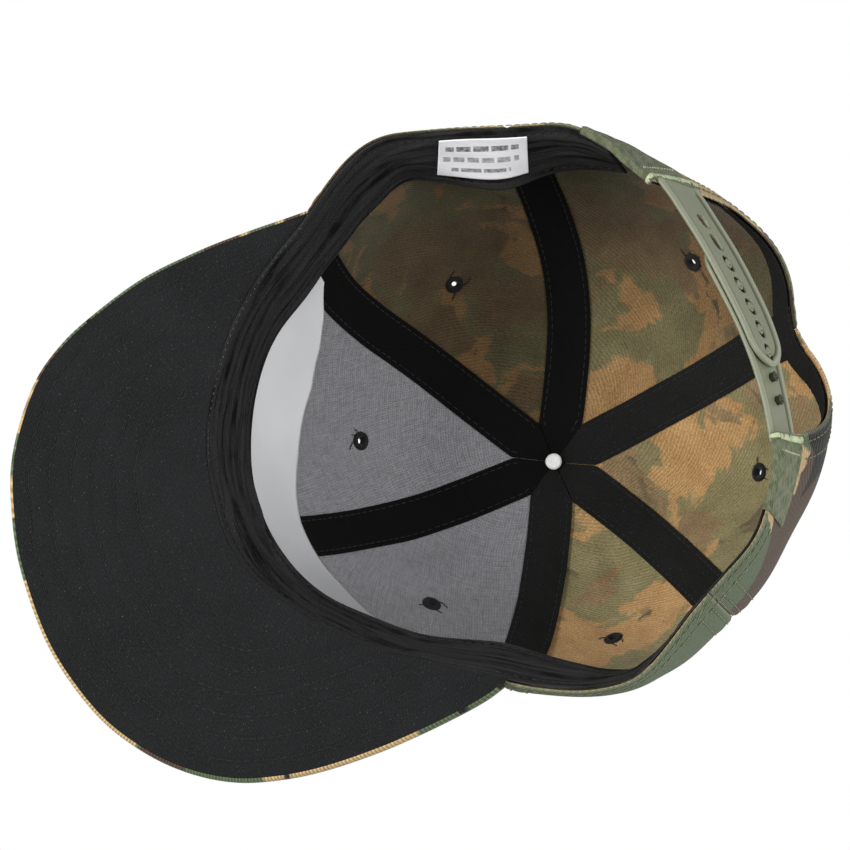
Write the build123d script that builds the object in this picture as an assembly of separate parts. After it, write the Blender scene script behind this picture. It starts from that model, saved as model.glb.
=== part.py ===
# Six-panel snapback cap, millimetres.
# +Z up to the crown top, visor toward -Y, wearer's left = +X, origin at the centre of the head opening
# in the plane of the rim. Every fabric layer is a thin closed solid built on one crown surface:
#   phi runs once round the cap in degrees (0 front seam, 60 left front/side seam, 120 left side/back seam,
#   180 rear seam, 240 and 300 the same seams on the right), u runs from the rim (0) to the crown top (9),
#   t is the distance outward from the inner face of the panels.
from build123d import *
import numpy as np
import math
import os

os.makedirs("parts", exist_ok=True)

# ------------------------------------------------------------------ driving dimensions
PANEL_T = 1.3            # outer twill panels with their seam allowance
SEAM_GAP = 0.12          # half the clearance between neighbouring panels at a seam
BUCKRAM = (-0.7, -0.2)   # stiff mesh backing of the two front panels, inner and outer face
TAPE_FRONT = (-1.4, -0.9)
TAPE_REAR = (-0.75, -0.25)
TAPE_W = 16.0            # seam tape width
STRIP = (-2.05, -1.65)   # white front shape strip
BAND_T = 0.9             # sweatband thickness
BAND_OFF = 1.4           # sweatband mid-surface inside the panels at the rim
BINDING = (-1.4, -0.95)
BINDING_W = 10.0
TAB_T = 0.6
STRAP_T = 1.5            # each plastic strap
STRAP_SPLIT = 0.25       # half the clearance between the two straps
SLOT_L, SLOT_H = 6.6, 4.4
PEG_D, PEG_H = 3.2, 2.3
SLOT_PITCH_STEPS = 7
EYELET_R, EYELET_HOLE = 3.0, 1.1
EYELET_TUBE = 1.6
EYELET_CUT = 1.8         # hole made in the cloth for the eyelet's tube
BUTTON_R = 7.5
RIVET_R = 3.0
VISOR_COVER = 0.9
VISOR_BOARD = 2.0
VISOR_GAP = 0.2
VISOR_LIP = 1.0
VISOR_TILT = (0.0265, 0.0289)   # rise of the visor plane per mm along X and along Y
VISOR_Y0 = -30.0

AP = (0.0, 5.2)          # crown top in X, Y
# heights of the crown's level curves, and the radius of the panels' inner face there for each meridian
LZ = np.array([0, 20, 40, 60, 78, 92, 103, 110, 114.2, 116.0])
KEY = [0, 30, 60, 90, 120, 150, 165, 180, 195, 210, 240, 270, 300, 330]
RT = {
    0: [104, 100.5, 95.5, 88, 77.5, 66.5, 55, 41, 21, 3],
    30: [100, 97, 92, 85.5, 76.5, 66.5, 54.5, 40, 21, 3],
    60: [96, 94.5, 91.5, 86, 76.5, 66, 53, 38, 19.5, 3],
    90: [103.5, 101, 97, 91, 81, 70.5, 57, 41, 21, 3],
    120: [96, 97, 96, 91.5, 82.5, 70.5, 56, 40, 20, 3],
    150: [91, 99.5, 102.5, 100.5, 91.5, 79, 62, 44.5, 22, 3],
    165: [85, 96.5, 106.5, 104, 90, 75.5, 59, 42, 21, 3],
    180: [84, 94, 104, 98.5, 85.5, 72, 55.5, 40, 20, 3],
    195: [86.5, 97, 106, 103, 89.5, 75.5, 59, 42, 21, 3],
    210: [92, 97.5, 102.5, 99.5, 91, 79, 62, 44.5, 22, 3],
    240: [95, 99, 99.5, 94.5, 83.5, 71, 56, 40, 20, 3],
    270: [103, 102, 98, 91.5, 81, 70.5, 57, 41, 21, 3],
    300: [92, 92, 90, 85, 76, 65.5, 53, 38, 19.5, 3],
    330: [97, 94.5, 90, 84, 75.5, 65.5, 54, 40, 21, 3],
}
# compass angle of each seam at the level curves, seen from the crown top
AN = {
    0: [0] * 10,
    60: [68.6, 65.2, 62.3, 60.5, 60.2, 60.8, 61.3, 61.3, 61, 61],
    120: [114.3, 113.8, 113.8, 114.6, 116.4, 118.7, 120.7, 122, 123, 123],
    180: [180, 183.5, 184, 183, 181.2, 180.3, 179.5, 178.8, 178.5, 178.5],
    240: [246.5, 246.5, 246.3, 245.9, 245.2, 244.3, 243.2, 242, 241, 241],
    300: [292.8, 295, 296.6, 297, 297, 297, 296.9, 296.6, 296, 296],
}
# the rim is a rounded polygon: compass angle and radius
RIM = [
    (0, 105), (7, 104), (14, 104), (21.5, 102.8), (28.7, 101.2), (34.2, 99.8), (42, 99), (50, 97.3), (60, 96),
    (65.5, 95.6), (68.6, 96.4), (76, 99.3), (80.5, 102), (85, 103.3), (88.5, 104), (94.3, 101), (100.4, 98.3),
    (108.8, 96.3), (114.3, 95.9), (118, 96.3), (126.3, 98.4), (131.3, 97), (135.8, 95.2), (139.6, 92.8),
    (143.6, 90.7), (149, 91), (155.9, 88.1), (165.6, 85.2), (176.1, 83.6), (186.7, 84.6), (196.2, 86.6),
    (205.6, 90.2), (210.4, 92), (217.5, 95), (221.5, 95.9), (224.5, 96), (231.7, 97.6), (237, 96.6),
    (242.2, 95.2), (246.5, 95.6), (251, 95.6), (259.6, 99.6), (265, 103), (268, 104.3), (273, 102.6),
    (277, 101.6), (281.5, 99), (286.6, 96.6), (292.8, 93.4), (297.6, 92), (309.8, 91), (322.7, 93.8),
    (335, 97.4), (345, 101.2), (351, 104),
]
# free edge of the sweatband: phi, height, distance inside the crown there
BAND_EDGE = [
    (0, 33, 3.4), (8, 31, 3.2), (16, 30, 3.2), (24, 29, 3.2), (30, 28, 3.2), (38, 28, 3.3), (44, 30, 3.3),
    (52, 33, 3.9), (61, 34, 3.6), (67, 34, 4.0), (74, 34, 3.6), (81.5, 34, 3.5), (92, 33.5, 3.2),
    (97.5, 34, 6.0), (104.5, 34, 9.6), (112, 34, 12.8), (118.5, 34, 13.2), (123.5, 34, 10.8), (128.5, 34, 8.4),
    (136, 34, 6.2), (142, 33, 4.4), (212, 31, 4.0), (222, 33, 4.2), (240, 34, 5.0), (255, 34, 5.0),
    (267.5, 34, 5.0), (278, 34, 9.0), (288.5, 34, 12.2), (298.5, 34, 14.0), (304.5, 34, 13.6), (320, 34, 9.4),
    (333.5, 34, 7.2), (342.5, 34, 4.8), (351.5, 34, 3.9),
]
# top edge of the white strip: phi, u
STRIP_EDGE = [
    (-40, 3.02), (-36.3, 3.0), (-30, 2.86), (-23.6, 2.86), (-18, 2.93), (-13.5, 3.0), (-6, 2.97), (3.6, 2.93),
    (13, 3.04), (20, 3.12), (31.6, 3.12), (36.8, 3.16), (46.9, 3.02), (53.3, 2.72), (56.2, 2.44), (59, 2.1),
]
# arch edge over the rear opening: phi, u
ARCH = [
    (154.6, 1.0), (156.4, 1.45), (158.8, 1.86), (162.5, 2.12), (167, 2.3), (172.5, 2.5), (178, 2.7),
    (182, 2.74), (187, 2.58), (192, 2.42), (196, 2.2), (199.2, 1.86), (201.8, 1.45), (204, 1.0),
]
# visor outline (front) and its line against the rim, X and Y
VISOR_OUT = [
    (91.0, -32.0), (92.9, -39.0), (94.2, -52.0), (95.2, -70.0), (94.4, -92.5), (89.0, -115.6), (83.9, -128.6),
    (76.6, -139.8), (65.2, -150.2), (52.8, -158.3), (39.3, -163.6), (20.5, -168.2), (-3.0, -169.8),
    (-21.6, -167.9), (-42.4, -161.8), (-58.7, -152.4), (-71.4, -141.0), (-80.8, -127.8), (-86.4, -113.6),
    (-89.9, -98.0), (-91.7, -79.0), (-91.9, -62.0), (-91.2, -46.5), (-90.2, -37.5), (-89.2, -32.0),
]
EYELETS = {
    "eyelet_front_left": (27.41, 4.86), "eyelet_front_right": (330.57, 4.67),
    "eyelet_side_left": (85.5, 4.96), "eyelet_side_right": (272.67, 4.69),
    "eyelet_back_left": (153.79, 4.46), "eyelet_back_right": (208.27, 5.06),
}
# the two straps share one band surface: X, Y of its bottom edge (z 0.8) and top edge (z 18.8)
STRAP_Z = (0.8, 18.8)
STRAP_BOT = [(46.3, 83.9), (41.5, 84.9), (36.2, 85.7), (21.5, 87.6), (5.7, 88.7), (-9.7, 89.2), (-24.0, 88.5), (-35.0, 87.0), (-41.0, 85.8), (-45.4, 84.7)]
STRAP_TOP = [(41.4, 94.1), (37.8, 94.7), (33.5, 95.3), (19.5, 97.1), (6.0, 98.0), (-8.0, 98.1), (-21.5, 96.6), (-32.0, 94.4), (-38.5, 93.0), (-45.0, 91.4)]
SLOT_S = [0.150, 0.243, 0.336, 0.429, 0.522, 0.615, 0.708]   # slot centres along the band, 0 at the left tab
PEG_S = [0.336, 0.429, 0.522, 0.615, 0.708, 0.801, 0.894]    # peg centres; the last two are free
SLOTTED_END, PEGGED_END = 0.765, 0.262
SLOT_V = 0.52


# ------------------------------------------------------------------ crown surface
def pcs(x, y, q):
    """Cubic spline through x, y that closes after 360 degrees, read at q."""
    x = np.asarray(x, float)
    y = np.asarray(y, float)
    n = len(x)
    h = np.diff(np.append(x, x[0] + 360.0))
    a = np.zeros((n, n))
    b = np.zeros(n)
    for i in range(n):
        p, m = (i - 1) % n, (i + 1) % n
        a[i, p] += h[p]
        a[i, i] += 2 * (h[p] + h[i])
        a[i, m] += h[i]
        b[i] = 6 * ((y[m] - y[i]) / h[i] - (y[i] - y[p]) / h[p])
    c = np.linalg.solve(a, b)
    q = np.mod(np.asarray(q, float) - x[0], 360.0) + x[0]
    i = np.clip(np.searchsorted(x, q, side="right") - 1, 0, n - 1)
    m = (i + 1) % n
    t, w = q - x[i], h[i]
    return (c[i] * (w - t) ** 3 + c[m] * t ** 3) / (6 * w) + (y[i] / w - c[i] * w / 6) * (w - t) + (y[m] / w - c[m] * w / 6) * t


def rim_r(a):
    return np.interp(np.mod(a, 360.0), [p[0] for p in RIM] + [360.0], [p[1] for p in RIM] + [RIM[0][1]])


NP = 120
PH = np.arange(NP) * 360.0 / NP


def make_table():
    tab = np.zeros((len(LZ), NP, 2))
    k12 = np.arange(0, 360, 30)
    for j in range(len(LZ)):
        d = []
        for k in k12:
            if k % 60 == 0:
                d.append(AN[k][j] - k)
            else:
                nxt = AN[(k + 30) % 360][j] + (360 if k == 330 else 0)
                d.append((AN[k - 30][j] + nxt) / 2 - k)
        af = PH + pcs(k12, d, PH)
        rf = pcs(KEY, [RT[k][j] for k in KEY], PH)
        if j < 3:
            rd = sum(rim_r(af + o) for o in (-3, -1.5, 0, 1.5, 3)) / 5
            r0 = pcs(KEY, [RT[k][0] for k in KEY], PH)
            rf = rd if j == 0 else rf + (1.0, 0.55, 0.2)[j] * (rd - r0)
        tab[j, :, 0] = AP[0] + rf * np.sin(np.radians(af))
        tab[j, :, 1] = AP[1] - rf * np.cos(np.radians(af))
    return tab


TAB = make_table()


def cr(a, b, c, d, t):
    return 0.5 * ((2 * b) + (-a + c) * t + (2 * a - 5 * b + 4 * c - d) * t * t + (-a + 3 * b - 3 * c + d) * t ** 3)


def M(phi, u):
    """Inner face of the panels."""
    phi = float(phi) % 360.0
    u = float(u)
    f = phi / (360.0 / NP)
    i = int(math.floor(f))
    t = f - i
    g = [TAB[:, (i + k) % NP, :] for k in (-1, 0, 1, 2)]
    col = cr(g[0], g[1], g[2], g[3], t)
    full = np.concatenate([col, LZ[:, None]], 1)
    full = np.concatenate([2 * full[:1] - full[1:2], full, 2 * full[-1:] - full[-2:-1]], 0)
    k = min(max(int(math.floor(u)), 0), len(LZ) - 2)
    return cr(full[k], full[k + 1], full[k + 2], full[k + 3], u - k)


def NRM(phi, u):
    u0 = min(max(u - 0.08, -0.3), 8.8)
    a = M(phi + 1, u) - M(phi - 1, u)
    b = M(phi, u0 + 0.16) - M(phi, u0)
    n = np.cross(a, b)
    return n / np.linalg.norm(n)


def S(phi, u, t):
    return M(phi, u) + NRM(phi, u) * t


def per_degree(phi, u):
    return np.linalg.norm(M(phi + 0.5, u) - M(phi - 0.5, u))


# ------------------------------------------------------------------ solids
def skin(fn, na, nb, ta, tb, tol=0.02):
    """Closed thin solid between fn(a, b, ta) and fn(a, b, tb), a and b in 0..1."""
    la = [i / (na - 1) for i in range(na)]
    lb = [j / (nb - 1) for j in range(nb)]
    faces, grids = [], []
    for t in (ta, tb):
        pts = [[Vector(*map(float, fn(a, b, t))) for b in lb] for a in la]
        grids.append(pts)
        faces.append(Face.make_surface_from_array_of_points(pts, tol=tol, max_deg=3))

    def edge(face, p, q):
        best = None
        for e in face.edges():
            s, t = e.position_at(0), e.position_at(1)
            d1 = (s - p).length + (t - q).length
            d2 = (s - q).length + (t - p).length
            if best is None or min(d1, d2) < best[0]:
                best = (min(d1, d2), e, d2 < d1)
        return best[1], best[2]

    sides = []
    for i0, j0, i1, j1 in ((0, 0, 0, -1), (0, -1, -1, -1), (-1, -1, -1, 0), (-1, 0, 0, 0)):
        e1, r1 = edge(faces[0], grids[0][i0][j0], grids[0][i1][j1])
        e2, r2 = edge(faces[1], grids[1][i0][j0], grids[1][i1][j1])
        if r1 != r2:
            e2 = e2.reversed()
        sides.append(Face.make_surface_from_curves(e1, e2))
    solid = Solid(Shell(faces + sides))
    if solid.volume < 0:
        solid = Solid(Shell([f.reversed() if hasattr(f, "reversed") else f for f in faces + sides]))
    return solid


def save(shape, name):
    shape.label = name
    if isinstance(shape, Compound) and len(shape.solids()) == 1:
        shape = shape.solids()[0]
        shape.label = name
    print(name, "valid", shape.is_valid, "vol %.1f" % shape.volume, "solids", len(shape.solids()))
    export_step(shape, f"parts/{name}.step")
    return shape


def axis_plane(p, n):
    return Plane(origin=Vector(*map(float, p)), z_dir=Vector(*map(float, n)))


def visor_z(x, y):
    return VISOR_TILT[0] * x + VISOR_TILT[1] * (y - VISOR_Y0)


VISOR_H = 2 * VISOR_COVER + VISOR_BOARD + 2 * VISOR_GAP


def u_at_z(phi, z):
    """u of the level at height z."""
    lo, hi = 0.0, 8.9
    for _ in range(40):
        mid = (lo + hi) / 2
        if M(phi, mid)[2] < z:
            lo = mid
        else:
            hi = mid
    return (lo + hi) / 2


def front_foot(phi):
    """The front panels stand on the visor."""
    p = M(phi, 0.2)
    return u_at_z(phi, visor_z(p[0], p[1]) + VISOR_H + 0.35)


holes = {}
for nm, (ph, uu) in EYELETS.items():
    holes[nm] = (S(ph, uu, 0.0), NRM(ph, uu))


def punch(shape, names, r=EYELET_CUT):
    for nm in names:
        p, n = holes[nm]
        pl = axis_plane(p - n * 4, n)
        shape = shape - pl * Cylinder(r, 9, align=(Align.CENTER, Align.CENTER, Align.MIN))
    return shape


# rear opening: a prism through the back of the cap, bounded by the arch edge and the two tab ends
arch_xz = [(M(p, u)[0], M(p, u)[2]) for p, u in ARCH]
left_foot = M(150.6, 0.0)
right_foot = M(208.0, 0.0)
with BuildSketch(Plane.XZ) as arch_sk:
    with BuildLine():
        top = Spline(*[(x, z) for x, z in arch_xz])
        l1 = Line((right_foot[0], -8.0), (right_foot[0], 0.0))
        l2 = Line((right_foot[0], 0.0), arch_xz[-1])
        l3 = Line(arch_xz[0], (left_foot[0], 0.0))
        l4 = Line((left_foot[0], 0.0), (left_foot[0], -8.0))
        l5 = Line((left_foot[0], -8.0), (right_foot[0], -8.0))
    make_face()
arch_cut = extrude(arch_sk.sketch, amount=-75).moved(Location((0, 60, 0)))

# --- six outer panels
PANELS = {
    "panel_front_left": (0, ["eyelet_front_left"]), "panel_side_left": (60, ["eyelet_side_left"]),
    "panel_back_left": (120, ["eyelet_back_left"]), "panel_back_right": (180, ["eyelet_back_right"]),
    "panel_side_right": (240, ["eyelet_side_right"]), "panel_front_right": (300, ["eyelet_front_right"]),
}
U_TOP = 8.93


def panel_fn(p0, foot):
    def fn(a, b, t):
        phi = p0 + 60 * a
        u0 = foot(phi)
        u = u0 + (U_TOP - u0) * b
        g = SEAM_GAP / max(per_degree(p0 + 60 * a, u), 1e-3)
        phi = p0 + g + (60 - 2 * g) * a
        return S(phi, u, t)
    return fn


for nm, (p0, eyes) in PANELS.items():
    front = "front" in nm
    s = skin(panel_fn(p0, front_foot if front else (lambda p: 0.03)), 25, 25, 0.0, PANEL_T)
    s = punch(s, eyes)
    if "back" in nm:
        s = s - arch_cut
        s = max(s.solids(), key=lambda q: q.volume)
    save(s, nm)

# --- mesh backing of the front panels
for nm, p0, eye in (("buckram_left", 0, "eyelet_front_left"), ("buckram_right", 300, "eyelet_front_right")):
    s = skin(panel_fn(p0, lambda p: front_foot(p) + 0.02), 21, 21, BUCKRAM[0], BUCKRAM[1])
    save(punch(s, [eye]), nm)


# --- seam tapes, pointed where they meet at the crown top
def tape_fn(ps, u0, u1):
    def fn(a, b, t):
        u = u0 + (u1 - u0) * b
        k = per_degree(ps, u)
        half = min(TAPE_W / 2 / k, 30 - 0.1 / k)
        return S(ps + (2 * a - 1) * half, u, t)
    return fn


TAPES = {
    "seam_tape_front": (0, 1.3, TAPE_FRONT), "seam_tape_front_left": (60, 1.3, TAPE_FRONT),
    "seam_tape_rear_left": (120, 0.2, TAPE_REAR), "seam_tape_rear": (180, 2.0, TAPE_REAR),
    "seam_tape_rear_right": (240, 0.2, TAPE_REAR), "seam_tape_front_right": (300, 1.3, TAPE_FRONT),
}
for nm, (ps, u0, (t0, t1)) in TAPES.items():
    # two stretches share one surface: full width below, wedge above
    s = skin(tape_fn(ps, u0, 8.9), 9, 33, t0, t1, tol=0.03)
    if ps == 180:
        s = s - arch_cut
        s = max(s.solids(), key=lambda q: q.volume)
    save(s, nm)


# --- sweatband
def band_edge(phi):
    return (float(pcs([e[0] for e in BAND_EDGE], [e[1] for e in BAND_EDGE], phi)),
            float(pcs([e[0] for e in BAND_EDGE], [e[2] for e in BAND_EDGE], phi)))


def band_mid(phi, v):
    z, ins = band_edge(phi)
    p = M(phi, u_at_z(phi, z))
    d = np.array([p[0] - AP[0], p[1] - AP[1], 0.0])
    d /= np.linalg.norm(d)
    top = p - d * ins
    bot = S(phi, u_at_z(phi, 1.2), -BAND_OFF)
    return bot * (1 - v) + top * v + d * 0.5 * v * (1 - v)


def band_at(phi, v, t):
    a = band_mid(phi + 0.7, v) - band_mid(phi - 0.7, v)
    b = band_mid(phi, min(v + 0.05, 1.0)) - band_mid(phi, max(v - 0.05, 0.0))
    n = np.cross(a, b)
    n /= np.linalg.norm(n)
    return band_mid(phi, v) + n * t


BAND_FROM, BAND_TO = 212.5, 360 + 140.5
band = skin(lambda a, b, t: band_at(BAND_FROM + (BAND_TO - BAND_FROM) * a, b, t), 97, 7, -BAND_T / 2, BAND_T / 2, tol=0.03)
save(band, "sweatband")


# --- white shape strip between the sweatband and the front backing
def strip_fn(a, b, t):
    phi = -39.5 + (58.5 + 39.5) * a
    top = float(np.interp(phi, [e[0] for e in STRIP_EDGE], [e[1] for e in STRIP_EDGE]))
    u0 = 1.32
    return S(phi, u0 + (top - u0) * b, t)


save(skin(strip_fn, 33, 7, STRIP[0], STRIP[1], tol=0.03), "front_shape_strip")

# --- care label hanging from the top of the sweatband on the left side
LABEL_PHI, LABEL_LEAN, LABEL_V = (102.8, 124.0), (-3.2, -1.6), (0.04, 0.74)


def label_fn(a, b, t):
    p0, p1 = LABEL_PHI[0] + LABEL_LEAN[0] * b, LABEL_PHI[1] + LABEL_LEAN[1] * b
    phi = p0 + (p1 - p0) * a
    return band_at(phi, LABEL_V[0] + (LABEL_V[1] - LABEL_V[0]) * b, -(BAND_T / 2 + 0.45) + t)


save(skin(label_fn, 9, 7, -0.4, 0.0), "care_label")


# --- arch binding on the inside of the arch edge
def arch_at(s):
    n = len(ARCH) - 1
    x = s * n
    i = min(int(x), n - 1)
    f = x - i
    pts = [ARCH[max(i - 1, 0)], ARCH[i], ARCH[i + 1], ARCH[min(i + 2, n)]]
    return np.array([cr(pts[0][k], pts[1][k], pts[2][k], pts[3][k], f) for k in (0, 1)])


def arch_in_side(s, w):
    """Walk w mm up the crown from the arch edge, square to the edge."""
    q = arch_at(s)
    d = arch_at(min(s + 0.02, 1.0)) - arch_at(max(s - 0.02, 0.0))
    steps = max(int(math.ceil(w / 2.0)), 1)
    for _ in range(steps):
        jp = (M(q[0] + 0.5, q[1]) - M(q[0] - 0.5, q[1]))
        ju = (M(q[0], q[1] + 0.05) - M(q[0], q[1] - 0.05)) / 0.1
        tan = jp * d[0] + ju * d[1]
        side = np.cross(tan, np.cross(jp, ju))
        side /= np.linalg.norm(side)
        side *= ORI
        a = np.array([[jp @ jp, jp @ ju], [jp @ ju, ju @ ju]])
        q = q + np.linalg.solve(a, np.array([jp @ side, ju @ side])) * (w / steps)
    return q


# orientation of the walk, read once at the middle of the arch
_q = arch_at(0.5)
_d = arch_at(0.52) - arch_at(0.48)
_jp = M(_q[0] + 0.5, _q[1]) - M(_q[0] - 0.5, _q[1])
_ju = (M(_q[0], _q[1] + 0.05) - M(_q[0], _q[1] - 0.05)) / 0.1
ORI = 1.0 if np.cross(_jp * _d[0] + _ju * _d[1], np.cross(_jp, _ju))[2] > 0 else -1.0


def binding(a, b, t):
    q = arch_in_side(a, 0.3 + BINDING_W * b)
    return S(q[0], q[1], t)


save(skin(binding, 41, 5, BINDING[0], BINDING[1], tol=0.03), "arch_binding")


# --- folded tab sleeves round the rim at both ends of the rear opening
def tab_fn(end0, end1, far, sgn):
    zt = 19.6
    def mid(a, b):
        # b walks from the inner leg, round the rim, up the outer leg
        ti, to = -0.5, PANEL_T + 0.55
        if b < 0.35:
            u = 0.9 * (1 - b / 0.35)
            t = ti
            z_off = 0.0
        elif b < 0.5:
            f = (b - 0.35) / 0.15
            t = ti + (to - ti) * (1 - math.cos(math.pi * f)) / 2
            u = 0.0
            z_off = -0.75 * math.sin(math.pi * f)
        else:
            u = 0.98 * (b - 0.5) / 0.5
            t = to
            z_off = 0.0
        end = end0 + (end1 - end0) * u
        phi = end + (far - end) * a
        p = S(phi, u, t)
        return p + np.array([0, 0, z_off])
    def fn(a, b, t):
        e = 0.012
        pa = mid(min(a + 0.02, 1), b) - mid(max(a - 0.02, 0), b)
        pb = mid(a, min(b + e, 1)) - mid(a, max(b - e, 0))
        n = np.cross(pa, pb)
        n /= np.linalg.norm(n)
        return mid(a, b) + n * t
    return fn


save(skin(tab_fn(150.6, 154.3, 134.5, 1), 9, 61, -TAB_T / 2, TAB_T / 2, tol=0.02), "strap_tab_left")
save(skin(tab_fn(208.0, 204.3, 221.5, -1), 9, 61, -TAB_T / 2, TAB_T / 2, tol=0.02), "strap_tab_right")

# --- visor: one flat board between two covers
J_IN = 0.95      # the visor reaches under the rim to the sweatband


VISOR_END = 59.0         # the visor stops just short of the front/side seams


def join_pts(off, n=41, p0=-VISOR_END, p1=VISOR_END):
    out = []
    for i in range(n):
        phi = p0 + (p1 - p0) * i / (n - 1)
        p = S(phi, 0.0, off)
        out.append((float(p[0]), float(p[1])))
    return out


def visor_face(inset, off):
    jp = join_pts(off)          # from right (-X) to left (+X)
    out = [np.array(p) for p in VISOR_OUT]
    out[0] = S(VISOR_END, 0.0, 2.4)[:2]
    out[-1] = S(-VISOR_END, 0.0, 4.2)[:2]
    c = np.array([0.0, -85.0])
    q = []
    for k, p in enumerate(out):
        a = out[max(k - 1, 0)]
        b = out[min(k + 1, len(out) - 1)]
        d = b - a
        n = np.array([d[1], -d[0]])
        n /= np.linalg.norm(n)
        if n @ (p - c) < 0:
            n = -n
        q.append(p - n * inset)
    with BuildSketch() as sk:
        with BuildLine():
            s1 = Spline(*[tuple(map(float, p)) for p in q])
            s2 = Spline(*jp)
            Line(s1 @ 1, s2 @ 0)
            Line(s2 @ 1, s1 @ 0)
        make_face()
    return sk.sketch


def place_visor(s):
    ax, ay = math.atan(VISOR_TILT[0]), math.atan(VISOR_TILT[1])
    s = s.moved(Location((0, -VISOR_Y0, 0)))
    s = s.rotate(Axis.X, math.degrees(ay)).rotate(Axis.Y, -math.degrees(ax))
    return s.moved(Location((0, VISOR_Y0, 0)))


under = extrude(visor_face(VISOR_LIP + 0.25, -J_IN), amount=VISOR_COVER)
save(place_visor(under.solids()[0]), "visor_under_cover")
z1 = VISOR_COVER + VISOR_GAP
board = extrude(visor_face(VISOR_LIP + 0.6, -J_IN), amount=VISOR_BOARD).moved(Location((0, 0, z1)))
save(place_visor(board.solids()[0]), "visor_board")
z2 = z1 + VISOR_BOARD + VISOR_GAP
plate = extrude(visor_face(0.0, -J_IN), amount=VISOR_COVER).moved(Location((0, 0, z2)))
ring = extrude(visor_face(0.0, -J_IN), amount=z2 + 0.02) - extrude(visor_face(VISOR_LIP, -40.0), amount=z2 + 0.02)
# keep only the lip round the free edge, ending a little short of the crown
with BuildSketch() as sk:
    with BuildLine():
        Polyline(*[tuple(map(float, S(phi, 0.0, 6.0)[:2])) for phi in range(-84, 85, 4)], (60.0, 30.0), (-60.0, 30.0), close=True)
    make_face()
ring = ring - extrude(sk.sketch, amount=z2 - 0.02)
lip = max(ring.solids(), key=lambda q: q.volume)
cover = plate.solids()[0].fuse(lip)
save(place_visor(cover.solids()[0] if len(cover.solids()) else cover), "visor_top_cover")

# --- vent eyelets: a tube with a flange on both faces
for nm in EYELETS:
    p, n = holes[nm]
    pl = axis_plane(p, n)
    inner = BUCKRAM[0] - 0.15 if "front" in nm else -0.2
    outer = PANEL_T + 0.2
    # allow for the curve of the cloth across the flange
    sag = 0.12
    lo0, lo1 = inner - sag - 0.7, inner - sag
    hi0, hi1 = outer, outer + 0.7
    with BuildSketch(Plane.XZ) as sk:
        with BuildLine():
            Polyline((EYELET_HOLE, lo0), (EYELET_R - 0.3, lo0), (EYELET_R, lo0 + 0.3), (EYELET_R, lo1), (EYELET_TUBE, lo1),
                     (EYELET_TUBE, hi0), (EYELET_R, hi0), (EYELET_R, hi1 - 0.3), (EYELET_R - 0.3, hi1), (EYELET_HOLE, hi1), close=True)
        make_face()
    e = revolve(sk.sketch, Axis.Z)
    save(pl * e.solids()[0], nm)

# --- top button and the rivet that holds it from inside
top_z = float(LZ[-1]) + PANEL_T + 0.3
with BuildSketch(Plane.XZ) as sk:
    with BuildLine():
        Line((2.0, top_z), (BUTTON_R, top_z - 0.1))
        Line((BUTTON_R, top_z - 0.1), (BUTTON_R, top_z + 0.5))
        Spline((BUTTON_R, top_z + 0.5), (BUTTON_R - 1.2, top_z + 2.3), (BUTTON_R * 0.5, top_z + 3.6), (0, top_z + 4.0), tangents=((0, 1), (-1, 0)))
        Line((0, top_z + 4.0), (0, top_z + 1.6))
        Line((0, top_z + 1.6), (2.0, top_z + 1.6))
        Line((2.0, top_z + 1.6), (2.0, top_z))
    make_face()
b = revolve(sk.sketch, Axis.Z)
save(b.solids()[0].moved(Location((AP[0], AP[1], 0))), "button_cap")
rz = float(LZ[-1]) + TAPE_FRONT[0] - 0.35
with BuildSketch(Plane.XZ) as sk:
    with BuildLine():
        Polyline((0, rz - 1.2), (RIVET_R - 0.5, rz - 1.2), (RIVET_R, rz - 0.7), (RIVET_R, rz), (1.3, rz), (1.3, top_z + 1.3), (0, top_z + 1.3), close=True)
    make_face()
r = revolve(sk.sketch, Axis.Z)
save(r.solids()[0].moved(Location((AP[0], AP[1], 0))), "button_rivet")


# --- plastic snap straps
def poly_at(pts, s):
    n = len(pts) - 1
    seg = [0.0]
    for p, q in zip(pts[:-1], pts[1:]):
        seg.append(seg[-1] + math.dist(p, q))
    L = seg[-1] * s
    i = min(max(int(np.searchsorted(seg, L, side="right")) - 1, 0), n - 1)
    f = (L - seg[i]) / (seg[i + 1] - seg[i])
    c = [pts[max(i - 1, 0)], pts[i], pts[i + 1], pts[min(i + 2, n)]]
    if i == 0:
        c[0] = (2 * pts[0][0] - pts[1][0], 2 * pts[0][1] - pts[1][1])
    if i == n - 1:
        c[3] = (2 * pts[n][0] - pts[n - 1][0], 2 * pts[n][1] - pts[n - 1][1])
    return np.array([cr(c[0][k], c[1][k], c[2][k], c[3][k], f) for k in (0, 1)])


def strap_mid(s, v):
    b = np.append(poly_at(STRAP_BOT, s), STRAP_Z[0])
    t = np.append(poly_at(STRAP_TOP, s), STRAP_Z[1])
    return b * (1 - v) + t * v


def strap_n(s, v):
    a = strap_mid(min(s + 0.02, 1), v) - strap_mid(max(s - 0.02, 0), v)
    b = strap_mid(s, min(v + 0.1, 1)) - strap_mid(s, max(v - 0.1, 0))
    n = np.cross(a, b)
    n /= np.linalg.norm(n)
    return n if n[1] > 0 else -n


def strap_at(s, v, t):
    return strap_mid(s, v) + strap_n(s, v) * t


STRAP_LEN = 95.0


def strap_solid(s_root, s_tip, t0, t1):
    """Band from s_root to s_tip with a round tip."""
    def fn(a, b, t):
        # a runs along the strap; near the tip the two edges close in on a half round
        s = s_root + (s_tip - s_root) * a
        L = abs(s_tip - s) * STRAP_LEN
        w = 20.4
        r = w / 2
        k = 1.0 if L >= r else math.sqrt(max(1 - ((r - L) / r) ** 2, 0.0))
        k = max(k, 0.12)
        return strap_at(s, 0.5 + (b - 0.5) * k, t)
    return fn


def clustered(fn):
    def g(a, b, t):
        # more sections near the tip
        return fn(1 - (1 - a) ** 1.8, b, t)
    return g


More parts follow.
